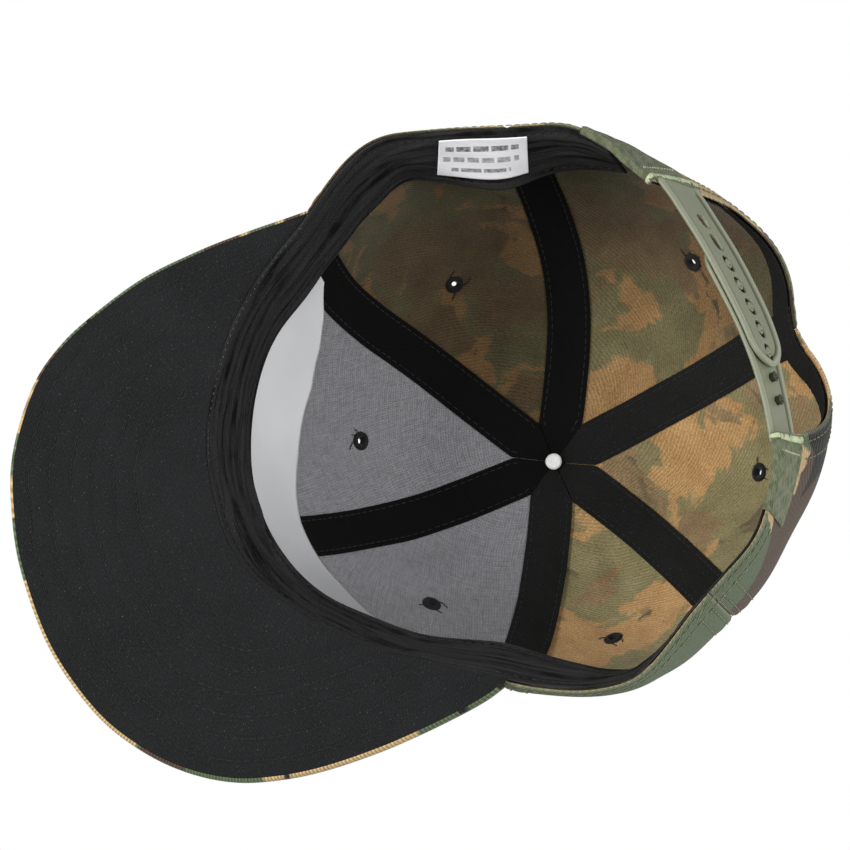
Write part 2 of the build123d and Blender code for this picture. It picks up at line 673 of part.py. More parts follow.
SL_T = (STRAP_SPLIT, STRAP_SPLIT + STRAP_T)
PG_T = (-STRAP_SPLIT - STRAP_T, -STRAP_SPLIT)
slotted = skin(clustered(strap_solid(0.004, SLOTTED_END, *SL_T)), 41, 5, *SL_T)
pegged = skin(clustered(strap_solid(0.996, PEGGED_END, *PG_T)), 41, 5, *PG_T)


def slot_tool(s):
    c = strap_at(s, SLOT_V, 0)
    n = strap_n(s, SLOT_V)
    x = strap_mid(s + 0.02, SLOT_V) - strap_mid(s - 0.02, SLOT_V)
    x /= np.linalg.norm(x)
    pl = Plane(origin=Vector(*map(float, c)), x_dir=Vector(*map(float, x)), z_dir=Vector(*map(float, n)))
    return pl * extrude(SlotOverall(SLOT_L, SLOT_H), amount=6, both=True)


def channel_tool():
    # shallow channel along the outer face, leaving a raised rim
    def fn(a, b, t):
        s = 0.02 + (SLOTTED_END - 0.045 - 0.02) * a
        L = (SLOTTED_END - 0.045 - s) * STRAP_LEN
        r = 20.4 / 2 - 3.4
        k = 0.66 if L >= r else 0.66 * math.sqrt(max(1 - ((r - L) / r) ** 2, 0.02))
        return strap_at(s, 0.5 + (b - 0.5) * k, t)
    return skin(clustered(fn), 31, 5, SL_T[1] - 0.45, SL_T[1] + 1.0)


slotted = slotted - channel_tool()
slotted = max(slotted.solids(), key=lambda q: q.volume)
for s in SLOT_S:
    slotted = slotted - slot_tool(s)
    slotted = max(slotted.solids(), key=lambda q: q.volume)
save(slotted, "snap_strap_slotted")
for s in PEG_S:
    c = strap_at(s, SLOT_V, PG_T[1] - 0.6)
    n = strap_n(s, SLOT_V)
    peg = axis_plane(c, n) * Cylinder(PEG_D / 2, PEG_H + 0.6, align=(Align.CENTER, Align.CENTER, Align.MIN))
    pegged = pegged.fuse(peg.solids()[0])
    pegged = max(pegged.solids(), key=lambda q: q.volume)
save(pegged, "snap_strap_pegged")
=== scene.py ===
# Six-panel woodland snapback cap: what the eye sees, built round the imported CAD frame. Metres, same frame.
import bpy
import math
import numpy as np
from mathutils import Matrix, Vector


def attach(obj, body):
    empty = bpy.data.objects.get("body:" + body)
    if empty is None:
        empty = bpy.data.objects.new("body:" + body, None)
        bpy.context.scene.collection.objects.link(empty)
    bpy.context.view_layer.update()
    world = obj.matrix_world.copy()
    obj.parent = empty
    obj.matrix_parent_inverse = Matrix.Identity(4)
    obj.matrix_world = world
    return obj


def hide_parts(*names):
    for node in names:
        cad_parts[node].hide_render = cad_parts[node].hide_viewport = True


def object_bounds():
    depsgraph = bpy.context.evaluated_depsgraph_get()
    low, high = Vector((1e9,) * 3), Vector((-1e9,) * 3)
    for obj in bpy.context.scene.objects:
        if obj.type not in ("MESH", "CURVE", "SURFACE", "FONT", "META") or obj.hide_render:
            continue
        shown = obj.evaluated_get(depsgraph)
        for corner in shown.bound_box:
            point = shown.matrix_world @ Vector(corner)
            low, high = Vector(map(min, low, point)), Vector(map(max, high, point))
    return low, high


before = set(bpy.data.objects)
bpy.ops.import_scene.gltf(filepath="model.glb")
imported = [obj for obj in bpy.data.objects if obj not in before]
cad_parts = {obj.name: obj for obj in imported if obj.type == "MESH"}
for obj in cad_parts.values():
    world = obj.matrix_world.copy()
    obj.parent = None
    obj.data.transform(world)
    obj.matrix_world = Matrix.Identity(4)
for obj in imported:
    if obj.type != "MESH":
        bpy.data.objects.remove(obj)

CAD_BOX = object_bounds()
MM = 0.001

# ---------------------------------------------------------------- dimensions, millimetres, as in the CAD
PANEL_T = 1.3
SEAM_GAP = 0.12
TAPE_W = 16.0
BAND_T, BAND_OFF = 0.9, 1.4
BINDING_W = 10.0
STRAP_T, STRAP_SPLIT = 1.5, 0.25
SLOT_L, SLOT_H = 6.6, 4.4
VISOR_TILT, VISOR_Y0 = (0.0265, 0.0289), -30.0
AP = (0.0, 5.2)          # crown top in X, Y
# heights of the crown's level curves, and the radius of the panels' inner face there for each meridian
LZ = np.array([0, 20, 40, 60, 78, 92, 103, 110, 114.2, 116.0])
KEY = [0, 30, 60, 90, 120, 150, 165, 180, 195, 210, 240, 270, 300, 330]
RT = {
    0: [104, 100.5, 95.5, 88, 77.5, 66.5, 55, 41, 21, 3],
    30: [100, 97, 92, 85.5, 76.5, 66.5, 54.5, 40, 21, 3],
    60: [96, 94.5, 91.5, 86, 76.5, 66, 53, 38, 19.5, 3],
    90: [103.5, 101, 97, 91, 81, 70.5, 57, 41, 21, 3],
    120: [96, 97, 96, 91.5, 82.5, 70.5, 56, 40, 20, 3],
    150: [91, 99.5, 102.5, 100.5, 91.5, 79, 62, 44.5, 22, 3],
    165: [85, 96.5, 106.5, 104, 90, 75.5, 59, 42, 21, 3],
    180: [84, 94, 104, 98.5, 85.5, 72, 55.5, 40, 20, 3],
    195: [86.5, 97, 106, 103, 89.5, 75.5, 59, 42, 21, 3],
    210: [92, 97.5, 102.5, 99.5, 91, 79, 62, 44.5, 22, 3],
    240: [95, 99, 99.5, 94.5, 83.5, 71, 56, 40, 20, 3],
    270: [103, 102, 98, 91.5, 81, 70.5, 57, 41, 21, 3],
    300: [92, 92, 90, 85, 76, 65.5, 53, 38, 19.5, 3],
    330: [97, 94.5, 90, 84, 75.5, 65.5, 54, 40, 21, 3],
}
# compass angle of each seam at the level curves, seen from the crown top
AN = {
    0: [0] * 10,
    60: [68.6, 65.2, 62.3, 60.5, 60.2, 60.8, 61.3, 61.3, 61, 61],
    120: [114.3, 113.8, 113.8, 114.6, 116.4, 118.7, 120.7, 122, 123, 123],
    180: [180, 183.5, 184, 183, 181.2, 180.3, 179.5, 178.8, 178.5, 178.5],
    240: [246.5, 246.5, 246.3, 245.9, 245.2, 244.3, 243.2, 242, 241, 241],
    300: [292.8, 295, 296.6, 297, 297, 297, 296.9, 296.6, 296, 296],
}
# the rim is a rounded polygon: compass angle and radius
RIM = [
    (0, 105), (7, 104), (14, 104), (21.5, 102.8), (28.7, 101.2), (34.2, 99.8), (42, 99), (50, 97.3), (60, 96),
    (65.5, 95.6), (68.6, 96.4), (76, 99.3), (80.5, 102), (85, 103.3), (88.5, 104), (94.3, 101), (100.4, 98.3),
    (108.8, 96.3), (114.3, 95.9), (118, 96.3), (126.3, 98.4), (131.3, 97), (135.8, 95.2), (139.6, 92.8),
    (143.6, 90.7), (149, 91), (155.9, 88.1), (165.6, 85.2), (176.1, 83.6), (186.7, 84.6), (196.2, 86.6),
    (205.6, 90.2), (210.4, 92), (217.5, 95), (221.5, 95.9), (224.5, 96), (231.7, 97.6), (237, 96.6),
    (242.2, 95.2), (246.5, 95.6), (251, 95.6), (259.6, 99.6), (265, 103), (268, 104.3), (273, 102.6),
    (277, 101.6), (281.5, 99), (286.6, 96.6), (292.8, 93.4), (297.6, 92), (309.8, 91), (322.7, 93.8),
    (335, 97.4), (345, 101.2), (351, 104),
]
# free edge of the sweatband: phi, height, distance inside the crown there
BAND_EDGE = [
    (0, 33, 3.4), (8, 31, 3.2), (16, 30, 3.2), (24, 29, 3.2), (30, 28, 3.2), (38, 28, 3.3), (44, 30, 3.3),
    (52, 33, 3.9), (61, 34, 3.6), (67, 34, 4.0), (74, 34, 3.6), (81.5, 34, 3.5), (92, 33.5, 3.2),
    (97.5, 34, 6.0), (104.5, 34, 9.6), (112, 34, 12.8), (118.5, 34, 13.2), (123.5, 34, 10.8), (128.5, 34, 8.4),
    (136, 34, 6.2), (142, 33, 4.4), (212, 31, 4.0), (222, 33, 4.2), (240, 34, 5.0), (255, 34, 5.0),
    (267.5, 34, 5.0), (278, 34, 9.0), (288.5, 34, 12.2), (298.5, 34, 14.0), (304.5, 34, 13.6), (320, 34, 9.4),
    (333.5, 34, 7.2), (342.5, 34, 4.8), (351.5, 34, 3.9),
]
# top edge of the white strip: phi, u
STRIP_EDGE = [
    (-40, 3.02), (-36.3, 3.0), (-30, 2.86), (-23.6, 2.86), (-18, 2.93), (-13.5, 3.0), (-6, 2.97), (3.6, 2.93),
    (13, 3.04), (20, 3.12), (31.6, 3.12), (36.8, 3.16), (46.9, 3.02), (53.3, 2.72), (56.2, 2.44), (59, 2.1),
]
# arch edge over the rear opening: phi, u
ARCH = [
    (154.6, 1.0), (156.4, 1.45), (158.8, 1.86), (162.5, 2.12), (167, 2.3), (172.5, 2.5), (178, 2.7),
    (182, 2.74), (187, 2.58), (192, 2.42), (196, 2.2), (199.2, 1.86), (201.8, 1.45), (204, 1.0),
]
# visor outline (front) and its line against the rim, X and Y
VISOR_OUT = [
    (91.0, -32.0), (92.9, -39.0), (94.2, -52.0), (95.2, -70.0), (94.4, -92.5), (89.0, -115.6), (83.9, -128.6),
    (76.6, -139.8), (65.2, -150.2), (52.8, -158.3), (39.3, -163.6), (20.5, -168.2), (-3.0, -169.8),
    (-21.6, -167.9), (-42.4, -161.8), (-58.7, -152.4), (-71.4, -141.0), (-80.8, -127.8), (-86.4, -113.6),
    (-89.9, -98.0), (-91.7, -79.0), (-91.9, -62.0), (-91.2, -46.5), (-90.2, -37.5), (-89.2, -32.0),
]
EYELETS = {
    "eyelet_front_left": (27.41, 4.86), "eyelet_front_right": (330.57, 4.67),
    "eyelet_side_left": (85.5, 4.96), "eyelet_side_right": (272.67, 4.69),
    "eyelet_back_left": (153.79, 4.46), "eyelet_back_right": (208.27, 5.06),
}
# the two straps share one band surface: X, Y of its bottom edge (z 0.8) and top edge (z 18.8)
STRAP_Z = (0.8, 18.8)
STRAP_BOT = [(46.3, 83.9), (41.5, 84.9), (36.2, 85.7), (21.5, 87.6), (5.7, 88.7), (-9.7, 89.2), (-24.0, 88.5), (-35.0, 87.0), (-41.0, 85.8), (-45.4, 84.7)]
STRAP_TOP = [(41.4, 94.1), (37.8, 94.7), (33.5, 95.3), (19.5, 97.1), (6.0, 98.0), (-8.0, 98.1), (-21.5, 96.6), (-32.0, 94.4), (-38.5, 93.0), (-45.0, 91.4)]
SLOT_S = [0.150, 0.243, 0.336, 0.429, 0.522, 0.615, 0.708]   # slot centres along the band, 0 at the left tab
PEG_S = [0.336, 0.429, 0.522, 0.615, 0.708, 0.801, 0.894]    # peg centres; the last two are free
SLOTTED_END, PEGGED_END = 0.765, 0.262
SLOT_V = 0.52




# ---------------------------------------------------------------- crown surface
def pcs(x, y, q):
    x = np.asarray(x, float)
    y = np.asarray(y, float)
    n = len(x)
    h = np.diff(np.append(x, x[0] + 360.0))
    A = np.zeros((n, n))
    b = np.zeros(n)
    for i in range(n):
        p, m = (i - 1) % n, (i + 1) % n
        A[i, p] += h[p]
        A[i, i] += 2 * (h[p] + h[i])
        A[i, m] += h[i]
        b[i] = 6 * ((y[m] - y[i]) / h[i] - (y[i] - y[p]) / h[p])
    c = np.linalg.solve(A, b)
    q = np.mod(np.asarray(q, float) - x[0], 360.0) + x[0]
    i = np.clip(np.searchsorted(x, q, side="right") - 1, 0, n - 1)
    m = (i + 1) % n
    t, w = q - x[i], h[i]
    return (c[i] * (w - t) ** 3 + c[m] * t ** 3) / (6 * w) + (y[i] / w - c[i] * w / 6) * (w - t) + (y[m] / w - c[m] * w / 6) * t


def rim_r(a):
    return np.interp(np.mod(a, 360.0), [p[0] for p in RIM] + [360.0], [p[1] for p in RIM] + [RIM[0][1]])


NP = 120
PH = np.arange(NP) * 360.0 / NP


def make_table():
    tab = np.zeros((len(LZ), NP, 2))
    k12 = np.arange(0, 360, 30)
    for j in range(len(LZ)):
        d = []
        for k in k12:
            if k % 60 == 0:
                d.append(AN[k][j] - k)
            else:
                nxt = AN[(k + 30) % 360][j] + (360 if k == 330 else 0)
                d.append((AN[k - 30][j] + nxt) / 2 - k)
        af = PH + pcs(k12, d, PH)
        rf = pcs(KEY, [RT[k][j] for k in KEY], PH)
        if j < 3:
            rd = sum(rim_r(af + o) for o in (-3, -1.5, 0, 1.5, 3)) / 5
            r0 = pcs(KEY, [RT[k][0] for k in KEY], PH)
            rf = rd if j == 0 else rf + (1.0, 0.55, 0.2)[j] * (rd - r0)
        tab[j, :, 0] = AP[0] + rf * np.sin(np.radians(af))
        tab[j, :, 1] = AP[1] - rf * np.cos(np.radians(af))
    return tab


TAB = make_table()


def cr(a, b, c, d, t):
    return 0.5 * ((2 * b) + (-a + c) * t + (2 * a - 5 * b + 4 * c - d) * t * t + (-a + 3 * b - 3 * c + d) * t ** 3)


def M(phi, u):
    phi, u = np.broadcast_arrays(np.asarray(phi, float), np.asarray(u, float))
    sh = phi.shape
    phi = np.mod(phi.ravel(), 360.0)
    u = u.ravel()
    f = phi / (360.0 / NP)
    i = np.floor(f).astype(int)
    t = f - i
    g = [TAB[:, (i + k) % NP, :] for k in (-1, 0, 1, 2)]
    col = cr(g[0], g[1], g[2], g[3], t[None, :, None])
    full = np.concatenate([col, np.broadcast_to(LZ[:, None, None], (len(LZ), len(phi), 1))], 2)
    full = np.concatenate([2 * full[:1] - full[1:2], full, 2 * full[-1:] - full[-2:-1]], 0)
    k = np.clip(np.floor(u).astype(int), 0, len(LZ) - 2)
    idx = np.arange(len(phi))
    p = [full[k + m, idx] for m in range(4)]
    return cr(p[0], p[1], p[2], p[3], (u - k)[:, None]).reshape(sh + (3,))


def unit(v):
    return v / (np.linalg.norm(v, axis=-1, keepdims=True) + 1e-12)


def NRM(phi, u):
    phi, u = np.broadcast_arrays(np.asarray(phi, float), np.asarray(u, float))
    u0 = np.clip(u - 0.08, -0.3, 8.8)
    return unit(np.cross(M(phi + 1, u) - M(phi - 1, u), M(phi, u0 + 0.16) - M(phi, u0)))


def S(phi, u, t):
    phi, u, t = np.broadcast_arrays(np.asarray(phi, float), np.asarray(u, float), np.asarray(t, float))
    return M(phi, u) + NRM(phi, u) * (t + sway(phi, u))[..., None]


def per_degree(phi, u):
    return np.linalg.norm(M(np.asarray(phi) + 0.5, u) - M(np.asarray(phi) - 0.5, u), axis=-1)


def waves(x, y, seed, n, lo, hi):
    """Smooth seeded noise, about -1..1: a sum of sines of wavelength lo..hi."""
    r = np.random.RandomState(seed)
    out = 0.0
    for _ in range(n):
        lam = lo * (hi / lo) ** r.rand()
        an = r.rand() * 2 * math.pi
        out = out + np.sin((x * math.cos(an) + y * math.sin(an)) * 2 * math.pi / lam + r.rand() * 6.283)
    return out / math.sqrt(n)


def sway(phi, u):
    """Slight unevenness that every cloth layer of the crown shares."""
    x, y = np.radians(phi) * 95.0, u * 19.0
    fade = np.clip((u - 0.6) / 1.5, 0, 1) * np.clip((8.6 - u) / 1.5, 0, 1)
    return 0.35 * waves(x, y, 5, 7, 24.0, 60.0) * fade


def sstep(x, a, b):
    t = np.clip((x - a) / (b - a), 0, 1)
    return t * t * (3 - 2 * t)


def visor_z(x, y):
    return VISOR_TILT[0] * x + VISOR_TILT[1] * (y - VISOR_Y0)


def u_at_z(phi, z):
    phi = np.asarray(phi, float)
    z = np.broadcast_to(np.asarray(z, float), phi.shape)
    lo, hi = np.zeros(phi.shape), np.full(phi.shape, 8.9)
    for _ in range(30):
        mid = (lo + hi) / 2
        below = M(phi, mid)[..., 2] < z
        lo, hi = np.where(below, mid, lo), np.where(below, hi, mid)
    return (lo + hi) / 2


def front_foot(phi):
    p = M(phi, 0.2)
    return u_at_z(phi, visor_z(p[..., 0], p[..., 1]) + 4.2 + 0.3)


# ---------------------------------------------------------------- mesh tools
def new_object(name, verts, faces, mats, mat_index=None, attrs=None, smooth=True, ride="cap"):
    me = bpy.data.meshes.new(name)
    verts = np.asarray(verts, float) * MM
    me.from_pydata(verts.tolist(), [], faces)
    for m in mats:
        me.materials.append(m)
    if mat_index is not None:
        me.polygons.foreach_set("material_index", np.asarray(mat_index, dtype=np.int32))
    if smooth:
        me.polygons.foreach_set("use_smooth", np.ones(len(faces), dtype=bool))
    for key, val in (attrs or {}).items():
        at = me.attributes.new(key, "FLOAT_VECTOR", "POINT")
        at.data.foreach_set("vector", np.asarray(val, dtype=np.float32).ravel())
    me.update()
    ob = bpy.data.objects.new(name, me)
    bpy.context.scene.collection.objects.link(ob)
    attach(ob, ride)
    return ob


def shell(name, A, B, mats, keep=None, attrs=None, split=(0, 1, 0), ride="cap", sharp=False):
    """Closed thin piece between two point grids A (outer) and B (inner); quads where keep is False are left out."""
    na, nb = A.shape[:2]
    N = na * nb
    if keep is None:
        keep = np.ones((na - 1, nb - 1), bool)
    i, j = np.nonzero(keep)
    q = np.stack([i * nb + j, (i + 1) * nb + j, (i + 1) * nb + j + 1, i * nb + j + 1], 1)
    ci, cj = (na - 1) // 2, (nb - 1) // 2
    ok = np.argwhere(keep)
    ci, cj = ok[len(ok) // 2]
    n = np.cross(A[ci + 1, cj] - A[ci, cj], A[ci, cj + 1] - A[ci, cj])
    if n @ (A[ci, cj] - B[ci, cj]) < 0:
        q = q[:, ::-1]
    outer = q
    inner = q[:, ::-1] + N
    edges = {}
    for f in outer:
        for k in range(4):
            edges[(f[k], f[(k + 1) % 4])] = True
    walls = []
    for (a, b) in edges:
        if (b, a) not in edges:
            walls.append((b, a, a + N, b + N))
    faces = np.concatenate([outer, inner, np.array(walls, dtype=int)], 0) if walls else np.concatenate([outer, inner], 0)
    idx = np.concatenate([np.full(len(outer), split[0]), np.full(len(inner), split[1]), np.full(len(walls), split[2])])
    V = np.concatenate([A.reshape(-1, 3), B.reshape(-1, 3)], 0)
    used = np.zeros(2 * N, bool)
    used[faces.ravel()] = True
    remap = np.cumsum(used) - 1
    at = {}
    for key, val in (attrs or {}).items():
        v = np.asarray(val, float).reshape(-1, 3)
        at[key] = np.concatenate([v, v], 0)[used]
    return new_object(name, V[used], remap[faces].tolist(), mats, idx, at, ride=ride)


def revolve_at(name, prof, centre, axis, mats, seg=48, relief=None, ride="cap", closed=True, attrs=True, idx=None):
    """prof: closed loop of (r, z); relief(theta, k) scales the radius outward a little."""
    axis = unit(np.asarray(axis, float))
    ref = np.array([0, 0, 1.0]) if abs(axis[2]) < 0.9 else np.array([1.0, 0, 0])
    e1 = unit(np.cross(ref, axis))
    e2 = np.cross(axis, e1)
    th = np.arange(seg) * 2 * math.pi / seg
    P = np.array(prof, float)
    n = len(P)
    V = np.zeros((seg, n, 3))
    for k, t in enumerate(th):
        r, z = P[:, 0].copy(), P[:, 1].copy()
        if relief is not None:
            r, z = relief(t, r, z)
        V[k] = centre + (e1 * math.cos(t) + e2 * math.sin(t))[None] * r[:, None] + axis[None] * z[:, None]
    faces, mi = [], []
    for k in range(seg):
        k2 = (k + 1) % seg
        for m in range(n if closed else n - 1):
            m2 = (m + 1) % n
            faces.append((k * n + m, k2 * n + m, k2 * n + m2, k * n + m2))
    if not closed:
        faces.append(tuple(k * n for k in range(seg))[::-1])
        faces.append(tuple(k * n + n - 1 for k in range(seg)))
    V = V.reshape(-1, 3)
    ob = new_object(name, V, faces, mats, None, {"cloth": np.stack([V[:, 0], V[:, 1], V[:, 2]], 1), "aux": np.full((len(V), 3), 50.0)}, ride=ride)
    fix_normals(ob)
    return ob


def fix_normals(ob):
    import bmesh
    bm = bmesh.new()
    bm.from_mesh(ob.data)
    bmesh.ops.recalc_face_normals(bm, faces=bm.faces)
    bm.to_mesh(ob.data)
    bm.free()
    ob.data.update()


RING = [(-1.0, 0.30), (-0.72, 0.82), (0.0, 1.0), (0.72, 0.82), (1.0, 0.30)]


def stitch_mesh(segs, w=0.26, h=0.2, sides=6):
    """segs: list of (p0, p1, normal). Small lens-shaped threads lying on the cloth, each sunk a little at its ends."""
    P0 = np.array([s[0] for s in segs])
    P1 = np.array([s[1] for s in segs])
    Nn = unit(np.array([s[2] for s in segs]))
    D = P1 - P0
    L = np.linalg.norm(D, axis=1, keepdims=True)
    T = D / (L + 1e-9)
    Wd = unit(np.cross(T, Nn))
    Nn = np.cross(Wd, T)
    C = (P0 + P1) / 2
    V = []
    for (x, k) in RING:
        for s in range(sides):
            a = 2 * math.pi * s / sides
            V.append(C + T * (L / 2) * x + Wd * (w * k * math.cos(a)) + Nn * (h * k * math.sin(a) + h * 0.9 * (k - 0.55)))
    V = np.stack(V, 1)
    m = V.shape[1]
    base = []
    R = len(RING)
    for r in range(R - 1):
        for s in range(sides):
            s2 = (s + 1) % sides
            base.append((r * sides + s, r * sides + s2, (r + 1) * sides + s2, (r + 1) * sides + s))
    caps = [tuple(range(sides))[::-1], tuple((R - 1) * sides + s for s in range(sides))]
    faces = []
    for k in range(len(segs)):
        o = k * m
        for f in base:
            faces.append(tuple(o + v for v in f))
        for f in caps:
            faces.append(tuple(o + v for v in f))
    return V.reshape(-1, 3), faces


def resample(P, Nn, pitch, length, start=0.6):
    seg = np.concatenate([[0], np.cumsum(np.linalg.norm(np.diff(P, axis=0), axis=1))])
    total = seg[-1]
    a = np.arange(start, total - length - 0.4, pitch)
    f = lambda q, V: np.stack([np.interp(q, seg, V[:, k]) for k in range(3)], 1)
    return list(zip(f(a, P), f(a + length, P), f(a + length / 2, Nn)))


def stitches(name, rows, mat, pitch=3.0, length=2.3, w=0.26, h=0.2, ride="cap"):
    segs = []
    for P, Nn in rows:
        segs += resample(np.asarray(P), np.asarray(Nn), pitch, length)
    return thread_object(name, segs, mat, w, h, ride)


def thread_object(name, segs, mat, w=0.26, h=0.2, ride="cap"):
    V, F = stitch_mesh(segs, w, h)
    ob = new_object(name, V, F, [mat], None, {"cloth": V}, ride=ride)
    fix_normals(ob)
    return ob


def tube(name, pts, r, mat, ride="cap", sides=6):
    pts = np.asarray(pts, float)
    n = len(pts)
    T = unit(np.gradient(pts, axis=0))
    ref = np.array([0.3, 0.2, 0.93])
    e1 = unit(np.cross(T, ref))
    e2 = np.cross(T, e1)
    V, F = [], []
    for k in range(n):
        rr = r * (0.5 if k in (0, n - 1) else 1.0)
        for s in range(sides):
            a = 2 * math.pi * s / sides
            V.append(pts[k] + (e1[k] * math.cos(a) + e2[k] * math.sin(a)) * rr)
    for k in range(n - 1):
        for s in range(sides):
            s2 = (s + 1) % sides
            F.append((k * sides + s, k * sides + s2, (k + 1) * sides + s2, (k + 1) * sides + s))
    F.append(tuple(range(sides))[::-1])
    F.append(tuple((n - 1) * sides + s for s in range(sides)))
    ob = new_object(name, np.array(V), F, [mat], None, {"cloth": np.array(V)}, ride=ride)
    fix_normals(ob)
    return ob


# ---------------------------------------------------------------- materials
def lin(r, g, b):
    f = lambda c: (c / 255 / 12.92) if c / 255 <= 0.04045 else ((c / 255 + 0.055) / 1.055) ** 2.4
    return (f(r), f(g), f(b), 1.0)


class Mat:
    def __init__(self, name, rough=0.85, spec=0.3, sheen=0.0):
        self.m = bpy.data.materials.new(name)
        self.m.use_nodes = True
        self.t = self.m.node_tree
        self.t.nodes.clear()
        self.out = self.t.nodes.new("ShaderNodeOutputMaterial")
        self.b = self.t.nodes.new("ShaderNodeBsdfPrincipled")
        self.t.links.new(self.b.outputs[0], self.out.inputs[0])
        self.b.inputs["Roughness"].default_value = rough
        self.b.inputs["Specular IOR Level"].default_value = spec
        if sheen:
            self.b.inputs["Sheen Weight"].default_value = sheen
            self.b.inputs["Sheen Roughness"].default_value = 0.5

    def n(self, kind, **kw):
        nd = self.t.nodes.new(kind)
        for k, v in kw.items():
            if hasattr(nd, k):
                setattr(nd, k, v)
            else:
                nd.inputs[k].default_value = v
        return nd

    def link(self, a, b):
        self.t.links.new(a, b)

    def attr(self, name):
        return self.n("ShaderNodeAttribute", attribute_name=name).outputs["Vector"]

    def xyz(self, v):
        s = self.n("ShaderNodeSeparateXYZ")
        self.link(v, s.inputs[0])
        return s.outputs

    def math(self, op, a, b=None, c=None, clamp=False):
        nd = self.n("ShaderNodeMath", operation=op)
        nd.use_clamp = clamp
        for k, v in enumerate((a, b, c)):
            if v is None:
                continue
            if isinstance(v, (int, float)):
                nd.inputs[k].default_value = v
            else:
                self.link(v, nd.inputs[k])
        return nd.outputs[0]

    def step(self, x, a, b):
        nd = self.n("ShaderNodeMapRange", interpolation_type="SMOOTHSTEP")
        self.link(x, nd.inputs["Value"])
        nd.inputs["From Min"].default_value = a
        nd.inputs["From Max"].default_value = b
        return nd.outputs[0]

    def ramp(self, x, lo, hi, a, b):
        nd = self.n("ShaderNodeMapRange")
        self.link(x, nd.inputs["Value"])
        nd.inputs["From Min"].default_value = lo
        nd.inputs["From Max"].default_value = hi
        nd.inputs["To Min"].default_value = a
        nd.inputs["To Max"].default_value = b
        return nd.outputs[0]

    def mix(self, f, a, b, mode="MIX"):
        nd = self.n("ShaderNodeMix", data_type="RGBA", blend_type=mode)
        for sock, v in ((nd.inputs[0], f), (nd.inputs[6], a), (nd.inputs[7], b)):
            if isinstance(v, (int, float)):
                sock.default_value = v
            elif isinstance(v, tuple):
                sock.default_value = v
            else:
                self.link(v, sock)
        return nd.outputs[2]

    def noise(self, vec, scale, detail=2.0, rough=0.5, dist=0.0):
        nd = self.n("ShaderNodeTexNoise")
        self.link(vec, nd.inputs["Vector"])
        nd.inputs["Scale"].default_value = scale
        nd.inputs["Detail"].default_value = detail
        nd.inputs["Roughness"].default_value = rough
        nd.inputs["Distortion"].default_value = dist
        return nd.outputs["Fac"]

    def mapping(self, vec, loc=(0, 0, 0), rot=(0, 0, 0), scale=(1, 1, 1)):
        nd = self.n("ShaderNodeMapping")
        self.link(vec, nd.inputs["Vector"])
        nd.inputs["Location"].default_value = loc
        nd.inputs["Rotation"].default_value = rot
        nd.inputs["Scale"].default_value = scale
        return nd.outputs[0]

    def wave(self, vec, scale, dist=0.0, direction="X", dscale=1.0):
        nd = self.n("ShaderNodeTexWave", wave_type="BANDS", bands_direction=direction)
        self.link(vec, nd.inputs["Vector"])
        nd.inputs["Scale"].default_value = scale
        nd.inputs["Distortion"].default_value = dist
        nd.inputs["Detail Scale"].default_value = dscale
        return nd.outputs["Fac"]

    def bump(self, h, dist, strength=1.0, prev=None):
        nd = self.n("ShaderNodeBump")
        nd.inputs["Strength"].default_value = strength
        nd.inputs["Distance"].default_value = dist
        self.link(h, nd.inputs["Height"])
        if prev is not None:
            self.link(prev, nd.inputs["Normal"])
        return nd.outputs[0]

    def color(self, c):
        self.link(c, self.b.inputs["Base Color"])

    def normal(self, v):
        self.link(v, self.b.inputs["Normal"])


def gray(m, f):
    nd = m.n("ShaderNodeCombineColor")
    for k in range(3):
        m.link(f, nd.inputs[k])
    return nd.outputs[0]


# wave scale: one band per 2*pi/(20*scale) units; for cloth in mm, period p mm -> scale = 0.31416 / p
def per(p):
    return 0.314159 / p


